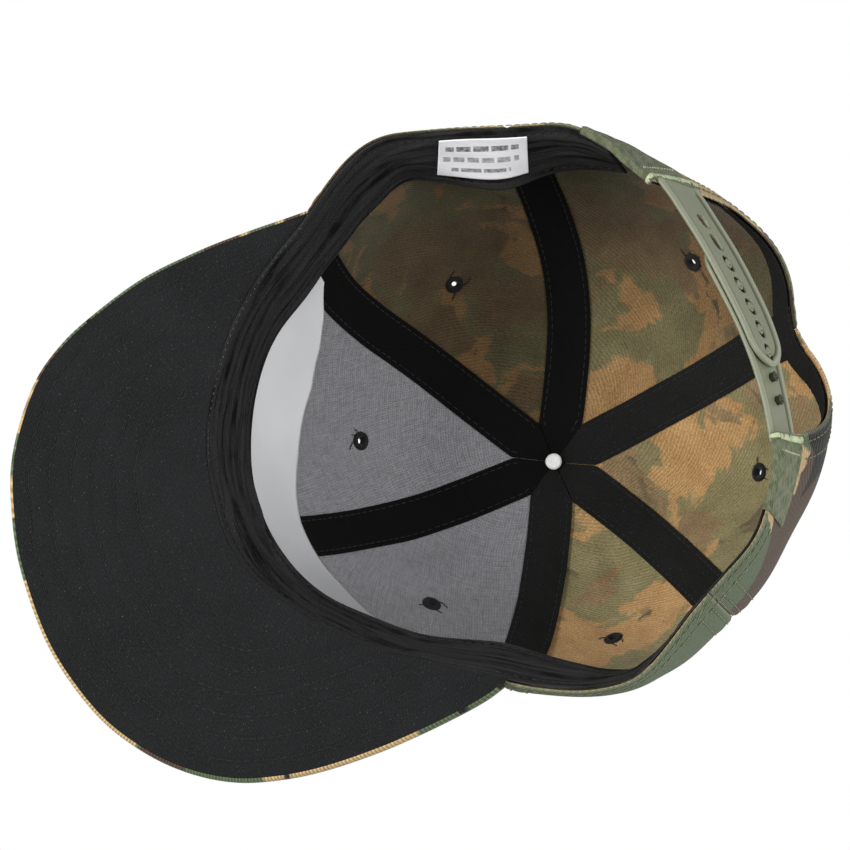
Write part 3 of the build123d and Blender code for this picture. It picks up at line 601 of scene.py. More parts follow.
def camo(name, inner):
    m = Mat(name, rough=0.9, spec=0.15, sheen=0.12)
    c = m.attr("cloth")
    aux = m.xyz(m.attr("aux"))
    wob = m.n("ShaderNodeTexNoise")
    m.link(c, wob.inputs["Vector"])
    wob.inputs["Scale"].default_value = 0.07
    wob.inputs["Detail"].default_value = 4
    off = m.n("ShaderNodeVectorMath", operation="MULTIPLY_ADD")
    m.link(wob.outputs["Color"], off.inputs[0])
    off.inputs[1].default_value = (17, 17, 0)
    m.link(c, off.inputs[2])
    v = off.outputs[0]
    vs = m.mapping(v, scale=(0.72, 1.0, 1.0))
    dt, ro = (4.0, 0.62) if inner else (1.5, 0.5)
    n1 = m.noise(vs, 0.026, dt, ro, 0.35)
    n2 = m.noise(m.mapping(vs, loc=(310, 90, 0)), 0.030, dt, ro, 0.5)
    n3 = m.noise(m.mapping(vs, loc=(-170, 420, 0)), 0.036, dt, ro, 0.8)
    if inner:
        tan, green, brown, black = lin(170, 134, 89), lin(126, 118, 84), lin(131, 110, 80), lin(100, 90, 68)
        tan2 = lin(168, 135, 94)
    else:
        tan, green, brown, black = lin(182, 156, 112), lin(84, 97, 70), lin(78, 62, 50), lin(30, 31, 28)
        tan2 = lin(206, 180, 136)
    paint = m.xyz(m.attr("paint_in" if inner else "paint"))
    e = 0.018 if inner else 0.006
    a1 = m.math("ADD", n1, paint[0])
    a2 = m.math("ADD", n2, paint[1])
    a3 = m.math("ADD", n3, paint[2])
    col = m.mix(m.step(a1, 0.475 - e, 0.475 + e), tan, green)
    col = m.mix(m.step(a2, 0.545 - e, 0.545 + e), col, brown)
    col = m.mix(m.step(a3, 0.60 - e, 0.60 + e), col, black)
    # heathered yarn: short flecks, then the diagonal ribs of the twill
    fl = m.noise(m.mapping(c, scale=(1.0, 2.2, 1.0)), 0.9, 3.0, 0.75)
    col = m.mix(0.75 if inner else 0.45, col, gray(m, m.ramp(fl, 0.28, 0.72, 0.18, 0.86)), "OVERLAY")
    rib = m.wave(m.mapping(c, rot=(0, 0, 0.95)), per(1.15), 1.2, "X", 0.5)
    yarn = m.wave(m.mapping(c, rot=(0, 0, -0.62)), per(0.55), 2.0, "X", 0.8)
    col = m.mix(0.22 if inner else 0.55, col, gray(m, m.ramp(rib, 0, 1, 0.16, 0.74)), "OVERLAY")
    if inner:
        gr = m.noise(c, 1.9, 2.0, 0.8)
        col = m.mix(0.5, col, gray(m, m.ramp(gr, 0.3, 0.7, 0.24, 0.78)), "OVERLAY")
    if inner:
        # the printed dye shows through unevenly on the back of the cloth
        st = m.noise(c, 0.09, 4.0, 0.6)
        col = m.mix(0.6, col, gray(m, m.ramp(st, 0.3, 0.7, 0.3, 0.72)), "SOFT_LIGHT")
        # painted shade: the back of the cloth is multiplied by each panel's shade factor
        panel_shade = m.xyz(m.attr("panel_shade"))
        col = m.mix(1.0, col, gray(m, panel_shade[0]), "MULTIPLY")
    else:
        # rubbed lighter along the folded edges and seams (wear); on the strap tabs the same lighter mix is a painted
        # highlight
        edge = m.math("SUBTRACT", 1.0, m.step(aux[0], 0.2, 1.6), clamp=True)
        ed = m.math("MULTIPLY", edge, m.ramp(fl, 0.3, 0.7, 0.15, 0.6))
        col = m.mix(ed, col, lin(150, 146, 120))
    m.color(col)
    h = m.math("ADD", m.math("MULTIPLY", rib, 0.75), m.math("MULTIPLY", yarn, 0.35))
    nb = m.bump(h, 0.00018 if inner else 0.00034, 0.9)
    nb = m.bump(fl, 0.00018, 0.5, nb)
    m.normal(nb)
    return m.m


def black_cloth(name, base, fleck, rib_period=0.7, angle=0.8, bump=0.00018, rough=0.92, lint=True, sheen=0.0, crease=0.0, ribmix=0.28):
    m = Mat(name, rough=rough, spec=0.12, sheen=sheen)
    c = m.attr("cloth")
    fl = m.noise(m.mapping(c, scale=(1.0, 1.6, 1.0)), 1.1, 3.0, 0.8)
    rib = m.wave(m.mapping(c, rot=(0, 0, angle)), per(rib_period), 1.5, "X", 0.6)
    col = m.mix(m.ramp(fl, 0.3, 0.72, 0.0, 1.0), base, fleck)
    col = m.mix(m.ramp(rib, 0, 1, 0.0, ribmix), col, lin(5, 5, 5))
    big = m.noise(c, 0.03, 3.0, 0.6)
    col = m.mix(m.ramp(big, 0.35, 0.7, 0.0, 0.3), col, fleck)
    if lint:
        sp = m.noise(c, 1.7, 1.0, 0.5)
        col = m.mix(m.math("MULTIPLY", m.step(sp, 0.70, 0.77), 0.4), col, lin(120, 120, 120))
    m.color(col)
    nb = m.bump(m.math("ADD", rib, m.math("MULTIPLY", fl, 0.8)), bump, 0.9)
    if crease:
        cr1 = m.noise(m.mapping(c, scale=(0.12, 1.0, 1.0)), 0.14, 3.0, 0.5, 0.6)
        nb = m.bump(cr1, crease, 1.0, nb)
        cr2 = m.noise(m.mapping(c, scale=(0.07, 1.0, 1.0)), 0.34, 4.0, 0.62, 0.5)
        cr3 = m.noise(c, 0.11, 3.0, 0.6)
        # painted shade: darker streaks along the creases
        dark = m.math("MULTIPLY", m.ramp(cr2, 0.40, 0.52, 1.0, 0.0), m.ramp(cr3, 0.35, 0.6, 0.35, 0.95))
        m.color(m.mix(dark, col, lin(6, 6, 6)))
        nb = m.bump(cr2, crease * 0.8, 1.0, nb)
    m.normal(nb)
    return m.m


def buckram_mat(name):
    m = Mat(name, rough=0.8, spec=0.25)
    c = m.attr("cloth")
    wob = m.n("ShaderNodeTexNoise")
    m.link(c, wob.inputs["Vector"])
    wob.inputs["Scale"].default_value = 0.12
    off = m.n("ShaderNodeVectorMath", operation="MULTIPLY_ADD")
    m.link(wob.outputs["Color"], off.inputs[0])
    off.inputs[1].default_value = (1.6, 1.6, 0)
    m.link(c, off.inputs[2])
    v = m.mapping(off.outputs[0], rot=(0, 0, 0.42))
    wx = m.wave(v, per(0.95), 0.8, "X", 1.0)
    wy = m.wave(v, per(0.95), 0.8, "Y", 1.0)
    grid = m.math("MAXIMUM", wx, wy)
    slx = m.noise(m.mapping(v, scale=(0.16, 1.0, 1.0)), 0.9, 2.0, 0.7)
    sly = m.noise(m.mapping(v, scale=(1.0, 0.16, 1.0)), 0.9, 2.0, 0.7)
    sl = m.math("ADD", m.math("MULTIPLY", slx, 0.5), m.math("MULTIPLY", sly, 0.5))
    fl = m.noise(c, 1.3, 3.0, 0.7)
    col = m.mix(m.ramp(sl, 0.34, 0.66, 0.0, 1.0), lin(116, 116, 119), lin(144, 144, 149))
    col = m.mix(0.34, col, gray(m, m.ramp(grid, 0, 1, 0.2, 0.75)), "OVERLAY")
    col = m.mix(0.4, col, gray(m, m.ramp(fl, 0.3, 0.7, 0.25, 0.75)), "OVERLAY")
    m.color(col)
    m.normal(m.bump(m.math("ADD", grid, sl), 0.00022, 0.8))
    return m.m


def strip_mat(name):
    m = Mat(name, rough=0.5, spec=0.4)
    c = m.attr("cloth")
    n = m.noise(c, 0.05, 3.0, 0.5)
    f = m.noise(c, 1.5, 2.0, 0.6)
    col = m.mix(n, lin(232, 234, 236), lin(220, 222, 226))
    s = m.xyz(c)
    # painted shade: the strip greys toward its low-phi end, where less light reaches the inside of the front
    col = m.mix(m.ramp(s[0], 45.0, -65.0, 0.0, 1.0), col, lin(136, 136, 138))
    col = m.mix(0.12, col, gray(m, f), "OVERLAY")
    m.color(col)
    m.normal(m.bump(f, 0.00004, 0.5))
    return m.m


def plastic_mat(name):
    m = Mat(name, rough=0.42, spec=0.45)
    c = m.attr("cloth")
    aux = m.xyz(m.attr("aux"))
    n = m.noise(c, 0.08, 4.0, 0.55)
    f = m.noise(c, 0.9, 3.0, 0.6)
    col = m.mix(n, lin(114, 118, 96), lin(131, 134, 111))
    # painted shade darkens the pressed groove and the two free pegs; a painted highlight lightens the rim
    col = m.mix(m.math("MULTIPLY", aux[0], 0.85), col, lin(52, 54, 30))
    col = m.mix(m.math("MULTIPLY", aux[1], 0.5), col, lin(166, 170, 150))
    col = m.mix(0.12, col, gray(m, f), "OVERLAY")
    m.color(col)
    m.b.inputs["Subsurface Weight"].default_value = 0.06
    m.b.inputs["Subsurface Radius"].default_value = (0.002, 0.002, 0.001)
    m.link(m.ramp(n, 0.3, 0.7, 0.36, 0.5), m.b.inputs["Roughness"])
    m.normal(m.bump(f, 0.00005, 0.6))
    return m.m


def thread_mat(name, a, b, rough=0.7):
    m = Mat(name, rough=rough, spec=0.25, sheen=0.1)
    c = m.attr("cloth")
    f = m.noise(c, 0.35, 3.0, 0.6)
    w = m.wave(m.mapping(c, rot=(0.5, 0.3, 0.8)), per(0.34), 1.5)
    col = m.mix(m.ramp(f, 0.35, 0.65, 0, 1), a, b)
    col = m.mix(0.35, col, gray(m, m.ramp(w, 0, 1, 0.25, 0.7)), "OVERLAY")
    m.color(col)
    m.normal(m.bump(w, 0.00008, 0.8))
    return m.m


def label_mat(name):
    m = Mat(name, rough=0.5, spec=0.35, sheen=0.1)
    c = m.attr("cloth")
    s = m.xyz(c)
    w1 = m.wave(c, per(0.45), 0.4, "X")
    w2 = m.wave(c, per(0.45), 0.4, "Y")
    col = m.mix(m.math("MULTIPLY", w1, w2), lin(244, 244, 248), lin(252, 252, 253))
    # three rows of plain short bars, no lettering
    def bars(y0, y1, p, duty, x0, x1, seed):
        row = m.math("MULTIPLY", m.step(s[1], y0 - 0.12, y0 + 0.12), m.math("SUBTRACT", 1.0, m.step(s[1], y1 - 0.12, y1 + 0.12)))
        span = m.math("MULTIPLY", m.step(s[0], x0 - 0.1, x0 + 0.1), m.math("SUBTRACT", 1.0, m.step(s[0], x1 - 0.1, x1 + 0.1)))
        k = m.math("ABSOLUTE", m.math("SUBTRACT", m.math("FRACT", m.math("MULTIPLY", s[0], 1.0 / p)), 0.5))
        on = m.math("SUBTRACT", 1.0, m.step(k, duty / 2 - 0.04, duty / 2 + 0.04))
        return m.math("MULTIPLY", m.math("MULTIPLY", row, span), on)
    f = bars(2.6, 4.4, 6.2, 0.86, 2.6, 27.5, 1)
    f = m.math("MAXIMUM", f, m.math("MULTIPLY", bars(6.6, 8.4, 5.1, 0.78, 1.8, 27.5, 2), 0.75))
    f = m.math("MAXIMUM", f, m.math("MULTIPLY", bars(10.6, 11.9, 8.0, 0.9, 5.0, 25.0, 3), 0.9))
    wear = m.noise(c, 0.8, 3.0, 0.7)
    f = m.math("MULTIPLY", f, m.ramp(wear, 0.3, 0.6, 0.45, 0.95))
    col = m.mix(f, col, lin(70, 72, 78))
    m.color(col)
    m.normal(m.bump(m.math("ADD", w1, w2), 0.00006, 0.8))
    return m.m


def enamel_mat(name):
    m = Mat(name, rough=0.3, spec=0.5)
    c = m.attr("cloth")
    f = m.noise(c, 0.6, 3.0, 0.6)
    col = m.mix(m.ramp(f, 0.35, 0.75, 0, 1), lin(244, 244, 244), lin(224, 225, 226))
    m.color(col)
    m.link(m.ramp(f, 0.3, 0.7, 0.22, 0.42), m.b.inputs["Roughness"])
    m.normal(m.bump(f, 0.00004, 0.6))
    return m.m


def board_mat(name):
    m = Mat(name, rough=0.6, spec=0.35)
    c = m.attr("cloth")
    f = m.noise(c, 0.5, 3.0, 0.6)
    m.color(m.mix(f, lin(22, 22, 23), lin(34, 34, 35)))
    m.normal(m.bump(f, 0.00008, 0.6))
    return m.m


CAMO_OUT = camo("camo_twill_face", False)
CAMO_IN = camo("camo_twill_back", True)
TAPE_MAT = black_cloth("black_tape", lin(16, 16, 16), lin(36, 36, 36), 0.9, 0.4, 0.00012, ribmix=0.15)
# painted shade: a darker copy of the black tape, used on the front, front-left and rear-left seams
TAPE_SHADED = black_cloth("black_tape_front", lin(6, 6, 6), lin(17, 17, 17), 0.9, 0.4, 0.00012, ribmix=0.15, lint=False)
BAND_MAT = black_cloth("black_sateen", lin(30, 30, 30), lin(60, 60, 61), 0.6, 0.5, 0.0001, rough=0.8, crease=0.0011)
VISOR_MAT = black_cloth("black_twill", lin(15, 15, 16), lin(40, 41, 42), 0.8, 0.75, 0.00022, rough=0.92)
BUCK_MAT = buckram_mat("buckram")
STRIP_MAT = strip_mat("white_strip")
PLASTIC = plastic_mat("strap_plastic")
BLACK_THREAD = thread_mat("black_thread", lin(8, 8, 8), lin(26, 26, 26))
BAND_THREAD = thread_mat("charcoal_thread", lin(18, 18, 19), lin(36, 36, 37))
OLIVE_THREAD = thread_mat("olive_thread", lin(92, 98, 70), lin(128, 130, 98))
SAGE_THREAD = thread_mat("sage_thread", lin(150, 164, 126), lin(196, 203, 166))
PALE_THREAD = thread_mat("pale_thread", lin(62, 62, 62), lin(104, 104, 104))
LABEL_MAT = label_mat("label_satin")
ENAMEL = enamel_mat("white_enamel")
BOARD = board_mat("visor_board_mat")


# ---------------------------------------------------------------- crown panels
eye_at = {k: (S(p, u, 0.0), NRM(p, u)) for k, (p, u) in EYELETS.items()}
arch_phi = np.array([a[0] for a in ARCH])
arch_u = np.array([a[1] for a in ARCH])


def arch_low(phi):
    return pchip(arch_phi, arch_u, phi)


def pchip(x, y, q):
    h = np.diff(x)
    d = np.diff(y) / h
    m = np.zeros(len(x))
    for k in range(1, len(x) - 1):
        if d[k - 1] * d[k] > 0:
            w1, w2 = 2 * h[k] + h[k - 1], h[k] + 2 * h[k - 1]
            m[k] = (w1 + w2) / (w1 / d[k - 1] + w2 / d[k])
    m[0], m[-1] = d[0], d[-1]
    i = np.clip(np.searchsorted(x, q, side="right") - 1, 0, len(h) - 1)
    t = (q - x[i]) / h[i]
    return ((2 * t ** 3 - 3 * t ** 2 + 1) * y[i] + (t ** 3 - 2 * t ** 2 + t) * h[i] * m[i]
            + (-2 * t ** 3 + 3 * t ** 2) * y[i + 1] + (t ** 3 - t ** 2) * h[i] * m[i + 1])


def foot_of(name, phi):
    if "front" in name:
        return front_foot(phi)
    if "back_left" in name:
        f = np.where(phi > 150.6, np.clip((phi - 150.6) / 4.0, 0, 1), 0.0)
        return np.where(phi > 154.6, arch_low(np.clip(phi, 154.6, 204.0)), f)
    if "back_right" in name:
        f = np.where(phi < 208.0, np.clip((208.0 - phi) / 4.0, 0, 1), 0.0)
        return np.where(phi < 204.0, arch_low(np.clip(phi, 154.6, 204.0)), f)
    return np.full(np.shape(phi), 0.0)


PANELS = {
    "panel_front_left": (0, ["eyelet_front_left"]), "panel_side_left": (60, ["eyelet_side_left"]),
    "panel_back_left": (120, ["eyelet_back_left"]), "panel_back_right": (180, ["eyelet_back_right"]),
    "panel_side_right": (240, ["eyelet_side_right"]), "panel_front_right": (300, ["eyelet_front_right"]),
}
U_TOP = 8.93


def near_eyes(P, names, r):
    ok = np.zeros(P.shape[:2], bool)
    for nm in names:
        c, n = eye_at[nm]
        d = P - c
        ax = d @ n
        rad = np.linalg.norm(d - ax[..., None] * n, axis=-1)
        ok |= (rad < r) & (np.abs(ax) < 8)
    return ok


def hole_keep(P, names, r):
    inside = near_eyes(P, names, r)
    k = ~(inside[:-1, :-1] | inside[1:, :-1] | inside[:-1, 1:] | inside[1:, 1:])
    return k


# broad colour areas of each panel's print: phi, u, radius mm, colour (tan, green, brown, black)
PRINT_IN = [
    (80, 4.5, 28, "B"), (100, 6, 12, "B"), (107, 5, 10, "T"),
    (140, 4.5, 24, "B"), (148, 5.5, 12, "T"), (162, 5.5, 10, "G"), (160, 7.2, 12, "T"),
    (208, 6.5, 14, "T"), (215, 5.5, 14, "G"),
    (256, 6.5, 12, "G"), (268, 6.2, 10, "B"), (278, 4.7, 14, "T"),
]
PRINT_OUT = [
    (285, 1, 16, "G"), (262, 1, 18, "G"), (248, 0.5, 20, "G"), (232, 0.6, 16, "G"), (240, 2.5, 14, "B"), (225, 1.5, 14, "B"), (200, 1.8, 12, "K"), (175, 2.2, 16, "G"),
    (158, 2, 10, "T"), (140, 1, 16, "G"), (118, 0.2, 16, "T"), (75, 0.2, 20, "K"),
]
# the visor's print: X, Y, radius mm, colour
PRINT_VISOR = [
    (70, -145, 16, "T"), (20, -165, 14, "G"), (-35, -165, 16, "T"), (-80, -130, 18, "G"), (-90, -75, 14, "T"), (100, -90, 20, "G"),
]
KIND = {"T": (-0.13, -0.14, -0.2), "G": (0.13, -0.14, -0.2), "B": (0.05, 0.15, -0.2), "K": (0.05, 0.05, 0.22)}


def blend_print(dists):
    """dists: list of (distance / radius, kind)"""
    tot, acc = 0.0, 0.0
    for d, k in dists:
        g = np.exp(-d ** 3)
        tot = tot + g
        acc = acc + g[..., None] * np.array(KIND[k])
    return acc / np.maximum(tot, 1.0)[..., None]


def paint_field(phi, u, spots):
    P = M(phi, u)
    return blend_print([(np.linalg.norm(P - M(ph, uu), axis=-1) / r, k) for (ph, uu, r, k) in spots])


def panel_grid(name, na=118, nb=150):
    p0 = PANELS[name][0]
    a = np.linspace(0, 1, na)
    a = 0.62 * a + 0.38 * (1 - np.cos(math.pi * a)) / 2
    b = np.concatenate([[0, 0.0012, 0.003, 0.0055, 0.0085], np.linspace(0.0125, 1, nb - 5)])
    phi_c = p0 + 60 * a
    foot = foot_of(name, phi_c)
    slope = np.gradient(foot * 20.0) / np.maximum(np.gradient(phi_c) * per_degree(phi_c, np.maximum(foot, 0.1)), 1e-6)
    U = foot[:, None] + (U_TOP - foot)[:, None] * b[None]
    pd = per_degree(phi_c[:, None] + 0 * U, U)
    g = SEAM_GAP / np.maximum(pd, 1e-3)
    PHI = p0 + g + (60 - 2 * g) * a[:, None]
    d = np.minimum(a, 1 - a)[:, None] * 60 * pd
    h = (U - foot[:, None]) * 20.0 / np.sqrt(1 + slope ** 2)[:, None]
    return p0, a, PHI, U, d, h, pd




def PANEL_SHADE(name, phi, u):
    """Painted shade on the back of each panel's cloth: one brightness factor per panel, and on the back-left panel
    darker toward the rim.
    """
    base = {"panel_side_left": 0.31, "panel_back_left": 0.54, "panel_back_right": 1.02, "panel_side_right": 1.12}.get(name, 0.8)
    if name == "panel_back_left":
        return base * (0.62 + 0.75 * sstep(u, 3.5, 7.5))
    return np.full(np.shape(u), base)


PANEL_DATA = {}
for k, name in enumerate(PANELS):
    p0, a, PHI, U, d, h, pd = panel_grid(name)
    front = "front" in name
    # outer face: dips into the seam, holds down along the stitch rows, swells a little between them
    tout = PANEL_T - 0.8 * np.exp(-(d / 1.0) ** 2) - 0.16 * np.exp(-((d - 3.0) / 0.7) ** 2) - 0.14 * np.exp(-((d - 8.6) / 0.7) ** 2)
    tout = tout + 0.22 * np.exp(-((d - 5.8) / 1.9) ** 2) * (0.7 + 0.3 * np.sin(U * 20 / 3.0 * 2 * math.pi / 1.6))
    tin = np.zeros_like(tout)
    if not front:
        flat = np.maximum(sstep(PHI, 127, 132) * (1 - sstep(PHI, 224, 230)), 0.0)
        tin = tin - 0.6 * (1 - flat) * (1 - sstep(h, 9.0, 11.0)) * sstep(h, 2.5, 4.5)
        tout = tout - 0.4 * (1 - flat) * (1 - sstep(h, 0.3, 2.6))
    # hem along the arch: rolled edge held by two rows
    tout = tout - 0.2 * np.exp(-((h - 3.0) / 0.8) ** 2) - 0.15 * np.exp(-((h - 9.0) / 0.8) ** 2) + 0.2 * np.exp(-((h - 6.0) / 2.0) ** 2)
    mid, half = (tout + tin) / 2, (tout - tin) / 2
    edge = np.sqrt(np.clip(1 - (1 - np.clip(h / 1.05, 0, 1)) ** 2, 0.02, 1))
    A = S(PHI, U, mid + half * edge)
    B = S(PHI, U, mid - half * edge)
    keep = hole_keep(S(PHI, U, 0.0), PANELS[name][1], 1.9)
    pm = p0 + 30.0
    cx = (PHI - pm) * per_degree(np.full_like(U, pm), U) + 700.0 * (k + 1)
    cy = U * 19.5
    cloth = np.stack([cx, cy, np.zeros_like(cx)], -1)
    aux = np.stack([np.minimum(d, h), h, d], -1)
    ob = shell("vis_" + name, A, B, [CAMO_OUT, CAMO_IN], keep, {"cloth": cloth, "aux": aux, "paint": 2.0 * paint_field(PHI, U, PRINT_OUT),
                "paint_in": paint_field(PHI, U, PRINT_IN), "panel_shade": np.stack([PANEL_SHADE(name, PHI, U)] * 3, -1)})
    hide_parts(name)
    PANEL_DATA[name] = ob

# topstitching: two rows along both sides of every seam, two rows along the rim or arch
rows = []
for ps in (0, 60, 120, 180, 240, 300):
    for sgn in (-1, 1):
        for dist in (3.0, 8.6):
            nm = [n for n, (p, _) in PANELS.items() if p == (ps if sgn > 0 else (ps - 60) % 360)][0]
            foot = float(foot_of(nm, np.array([ps + (0.01 if ps != 180 else 0.0) if sgn > 0 else (ps - 0.01) % 360]))[0])
            u = np.linspace(foot + 0.25, 8.4, 260)
            pdg = per_degree(np.full_like(u, ps), u)
            lim = pdg * 27
            ok = dist < lim
            u = u[ok]
            phi = ps + sgn * dist / pdg[ok]
            rows.append((S(phi, u, PANEL_T + 0.02), NRM(phi, u)))
ob = stitches("vis_topstitch_seams", rows, OLIVE_THREAD)

rows = []
for dist in (3.0, 9.0):
    for (f0, f1) in ((62.0, 133.0), (223.0, 298.0)):
        phi = np.linspace(f0, f1, 300)
        u = np.full_like(phi, dist / 20.0)
        rows.append((S(phi, u, PANEL_T + 0.1), NRM(phi, u)))
ob = stitches("vis_topstitch_rim", rows, OLIVE_THREAD)


def arch_walk(w, n=160):
    s = np.linspace(0, 1, n)
    ph = np.interp(s, np.linspace(0, 1, len(arch_phi)), arch_phi)
    ph = arch_phi[0] + (arch_phi[-1] - arch_phi[0]) * s
    uu = arch_low(ph)
    pts = np.stack([ph, uu], 1)
    steps = max(int(math.ceil(w / 1.5)), 1)
    for _ in range(steps):
        jp = M(pts[:, 0] + 0.5, pts[:, 1]) - M(pts[:, 0] - 0.5, pts[:, 1])
        ju = (M(pts[:, 0], pts[:, 1] + 0.05) - M(pts[:, 0], pts[:, 1] - 0.05)) / 0.1
        dd = np.gradient(pts, axis=0)
        tan = jp * dd[:, :1] + ju * dd[:, 1:]
        nn = np.cross(jp, ju)
        side = unit(np.cross(tan, nn))
        side = side * np.where(side[len(side) // 2, 2] > 0, 1.0, -1.0)
        a11, a12, a22 = (jp * jp).sum(1), (jp * ju).sum(1), (ju * ju).sum(1)
        b1, b2 = (jp * side).sum(1), (ju * side).sum(1)
        det = a11 * a22 - a12 ** 2
        st = np.stack([(a22 * b1 - a12 * b2) / det, (a11 * b2 - a12 * b1) / det], 1) * (w / steps)
        pts = pts + st
    return pts


rows = []
for dist in (3.2, 9.0):
    q = arch_walk(dist)
    rows.append((S(q[:, 0], q[:, 1], PANEL_T + 0.08), NRM(q[:, 0], q[:, 1])))
ob = stitches("vis_topstitch_arch", rows, OLIVE_THREAD)

# ---------------------------------------------------------------- buckram behind the front panels
for name, p0, eye in (("buckram_left", 0, "eyelet_front_left"), ("buckram_right", 300, "eyelet_front_right")):
    a = np.linspace(0, 1, 90)
    b = np.linspace(0, 1, 120)
    phi_c = p0 + 60 * a
    foot = front_foot(phi_c) + 0.04
    U = foot[:, None] + (U_TOP - foot)[:, None] * b[None]
    PHI = p0 + 0.15 + 59.7 * a[:, None] + 0 * U
    pk = 0.05 * waves(PHI * 1.7, U * 19, 31 + p0, 6, 9, 30)
    A, B = S(PHI, U, -0.2 + pk), S(PHI, U, -0.7 + pk)
    keep = hole_keep(S(PHI, U, 0.0), [eye], 1.9)
    pm = p0 + 30.0
    cx = (PHI - pm) * per_degree(np.full_like(U, pm), U) + 900 + p0 * 3
    cloth = np.stack([cx, U * 19.5, 0 * cx], -1)
    ob = shell("vis_" + name, A, B, [BUCK_MAT], keep, {"cloth": cloth}, split=(0, 0, 0))
    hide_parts(name)

# ---------------------------------------------------------------- seam tapes
TAPES = {
    "seam_tape_front": (0, 1.3, (-1.4, -0.9)), "seam_tape_front_left": (60, 1.3, (-1.4, -0.9)),
    "seam_tape_rear_left": (120, 0.2, (-0.75, -0.25)), "seam_tape_rear": (180, 2.0, (-0.75, -0.25)),
    "seam_tape_rear_right": (240, 0.2, (-0.75, -0.25)), "seam_tape_front_right": (300, 1.3, (-1.4, -0.9)),
}
tape_rows = []
for name, (ps, u0, (t0, t1)) in TAPES.items():
    a = np.linspace(-1, 1, 41)
    if ps == 180:
        u0 = 2.78
    u = np.linspace(u0, 9.08, 170)
    if ps == 180:
        fr0 = (u - u0) / (9.08 - u0)
        low0 = arch_low(np.full_like(u, 180.0)) + 0.06
        u_true = low0 + (9.08 - low0) * fr0
    else:
        u_true = u
    k = per_degree(np.full_like(u, ps), u_true)
    half = np.minimum(TAPE_W / 2 / k, 30 - 0.1 / k)
    sides = []
    for sg in (-1, 1):
        hs = half.copy()
        for _ in range(8):
            dist = np.linalg.norm(M(ps + sg * hs, u_true) - M(np.full_like(u_true, ps), u_true), axis=-1)
            hs = np.minimum(hs * TAPE_W / 2 / np.maximum(dist, 0.5), half)
        sides.append(hs)
    PHI = ps + a[:, None] * np.where(a[:, None] < 0, sides[0][None], sides[1][None])
    U = u[None] + 0 * PHI
    x = a[:, None] * TAPE_W / 2 + 0 * PHI
    if ps == 180:
        low = arch_low(np.clip(PHI, 154.6, 204.0)) + 0.06
        fr = (U - u0) / (9.08 - u0)
        lowc = float(arch_low(np.array([180.0]))[0]) + 0.06
        low = low + (lowc - low) * sstep(fr, 0.12, 0.5)
        U = low + (9.08 - low) * fr
    s = U * 20.0
    # the middle bulges over the seam allowance, the edges are held by a stitch row and pucker between stitches
    rel = -0.34 * np.exp(-(x / 2.7) ** 2) + 0.26 * np.exp(-((np.abs(x) - 6.2) / 0.6) ** 2)
    rel = rel - 0.12 * np.sin(s * 2 * math.pi / 3.0) * np.exp(-((np.abs(x) - 7.2) / 1.2) ** 2)
    rel = rel - 0.12 * waves(x * 1.3, s, 60 + ps, 6, 7, 26)
    fade = np.clip((8.7 - U) / 1.6, 0, 1)
    rel = rel * (0.25 + 0.75 * fade)
    top = (t0 + t1) / 2
    A, B = S(PHI, U, t1 + 0 * rel), S(PHI, U, t0 + np.minimum(rel, 0.22))
    cloth = np.stack([x + ps * 11.0, s, 0 * s], -1)
    # the front, front-left and rear-left tapes take the darker copy of the tape: painted shade
    ob = shell("vis_" + name, A, B, [TAPE_SHADED if ps in (0, 60, 120) else TAPE_MAT], None, {"cloth": cloth}, split=(0, 0, 0))
    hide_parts(name)
    for sg in (-1, 1):
        uu = np.linspace(u0 + 0.1, 8.5, 220)
        kk = per_degree(np.full_like(uu, ps), uu)
        hh = np.minimum(6.2 / kk, 22.0)
        ph = ps + sg * hh
        if ps == 180:
            uu = np.maximum(uu, arch_low(np.clip(ph, 154.6, 204.0)) + 0.1)
        tape_rows.append((S(ph, uu, t0 + 0.12), -NRM(ph, uu)))
ob = stitches("vis_tape_stitches", tape_rows, BAND_THREAD, pitch=3.0, length=2.2, w=0.2, h=0.16)

# ---------------------------------------------------------------- sweatband
be_phi = [e[0] for e in BAND_EDGE]


def band_surface(phi, v):
    """phi (n,), v (m,) -> mid points (n, m, 3)"""
    z = pcs(be_phi, [e[1] for e in BAND_EDGE], phi)
    ins = pcs(be_phi, [e[2] for e in BAND_EDGE], phi)
    p = M(phi, u_at_z(phi, z))
    d = p - np.array([AP[0], AP[1], 0.0])
    d[:, 2] = 0
    d = unit(d)
    top = p - d * ins[:, None]
    u1 = u_at_z(phi, 1.2)
    bot = M(phi, u1) - NRM(phi, u1) * BAND_OFF
    v = np.asarray(v)[None, :, None]
    return bot[:, None] * (1 - v) + top[:, None] * v + d[:, None] * 0.5 * v * (1 - v)


def grid_normals(P):
    du = np.gradient(P, axis=0)
    dv = np.gradient(P, axis=1)
    return unit(np.cross(du, dv))


BAND_FROM, BAND_TO = 212.5, 360 + 140.5
nphi, nv = 620, 46
phi = np.linspace(BAND_FROM, BAND_TO, nphi)
v = np.linspace(0, 1, nv)
P = band_surface(phi, v)
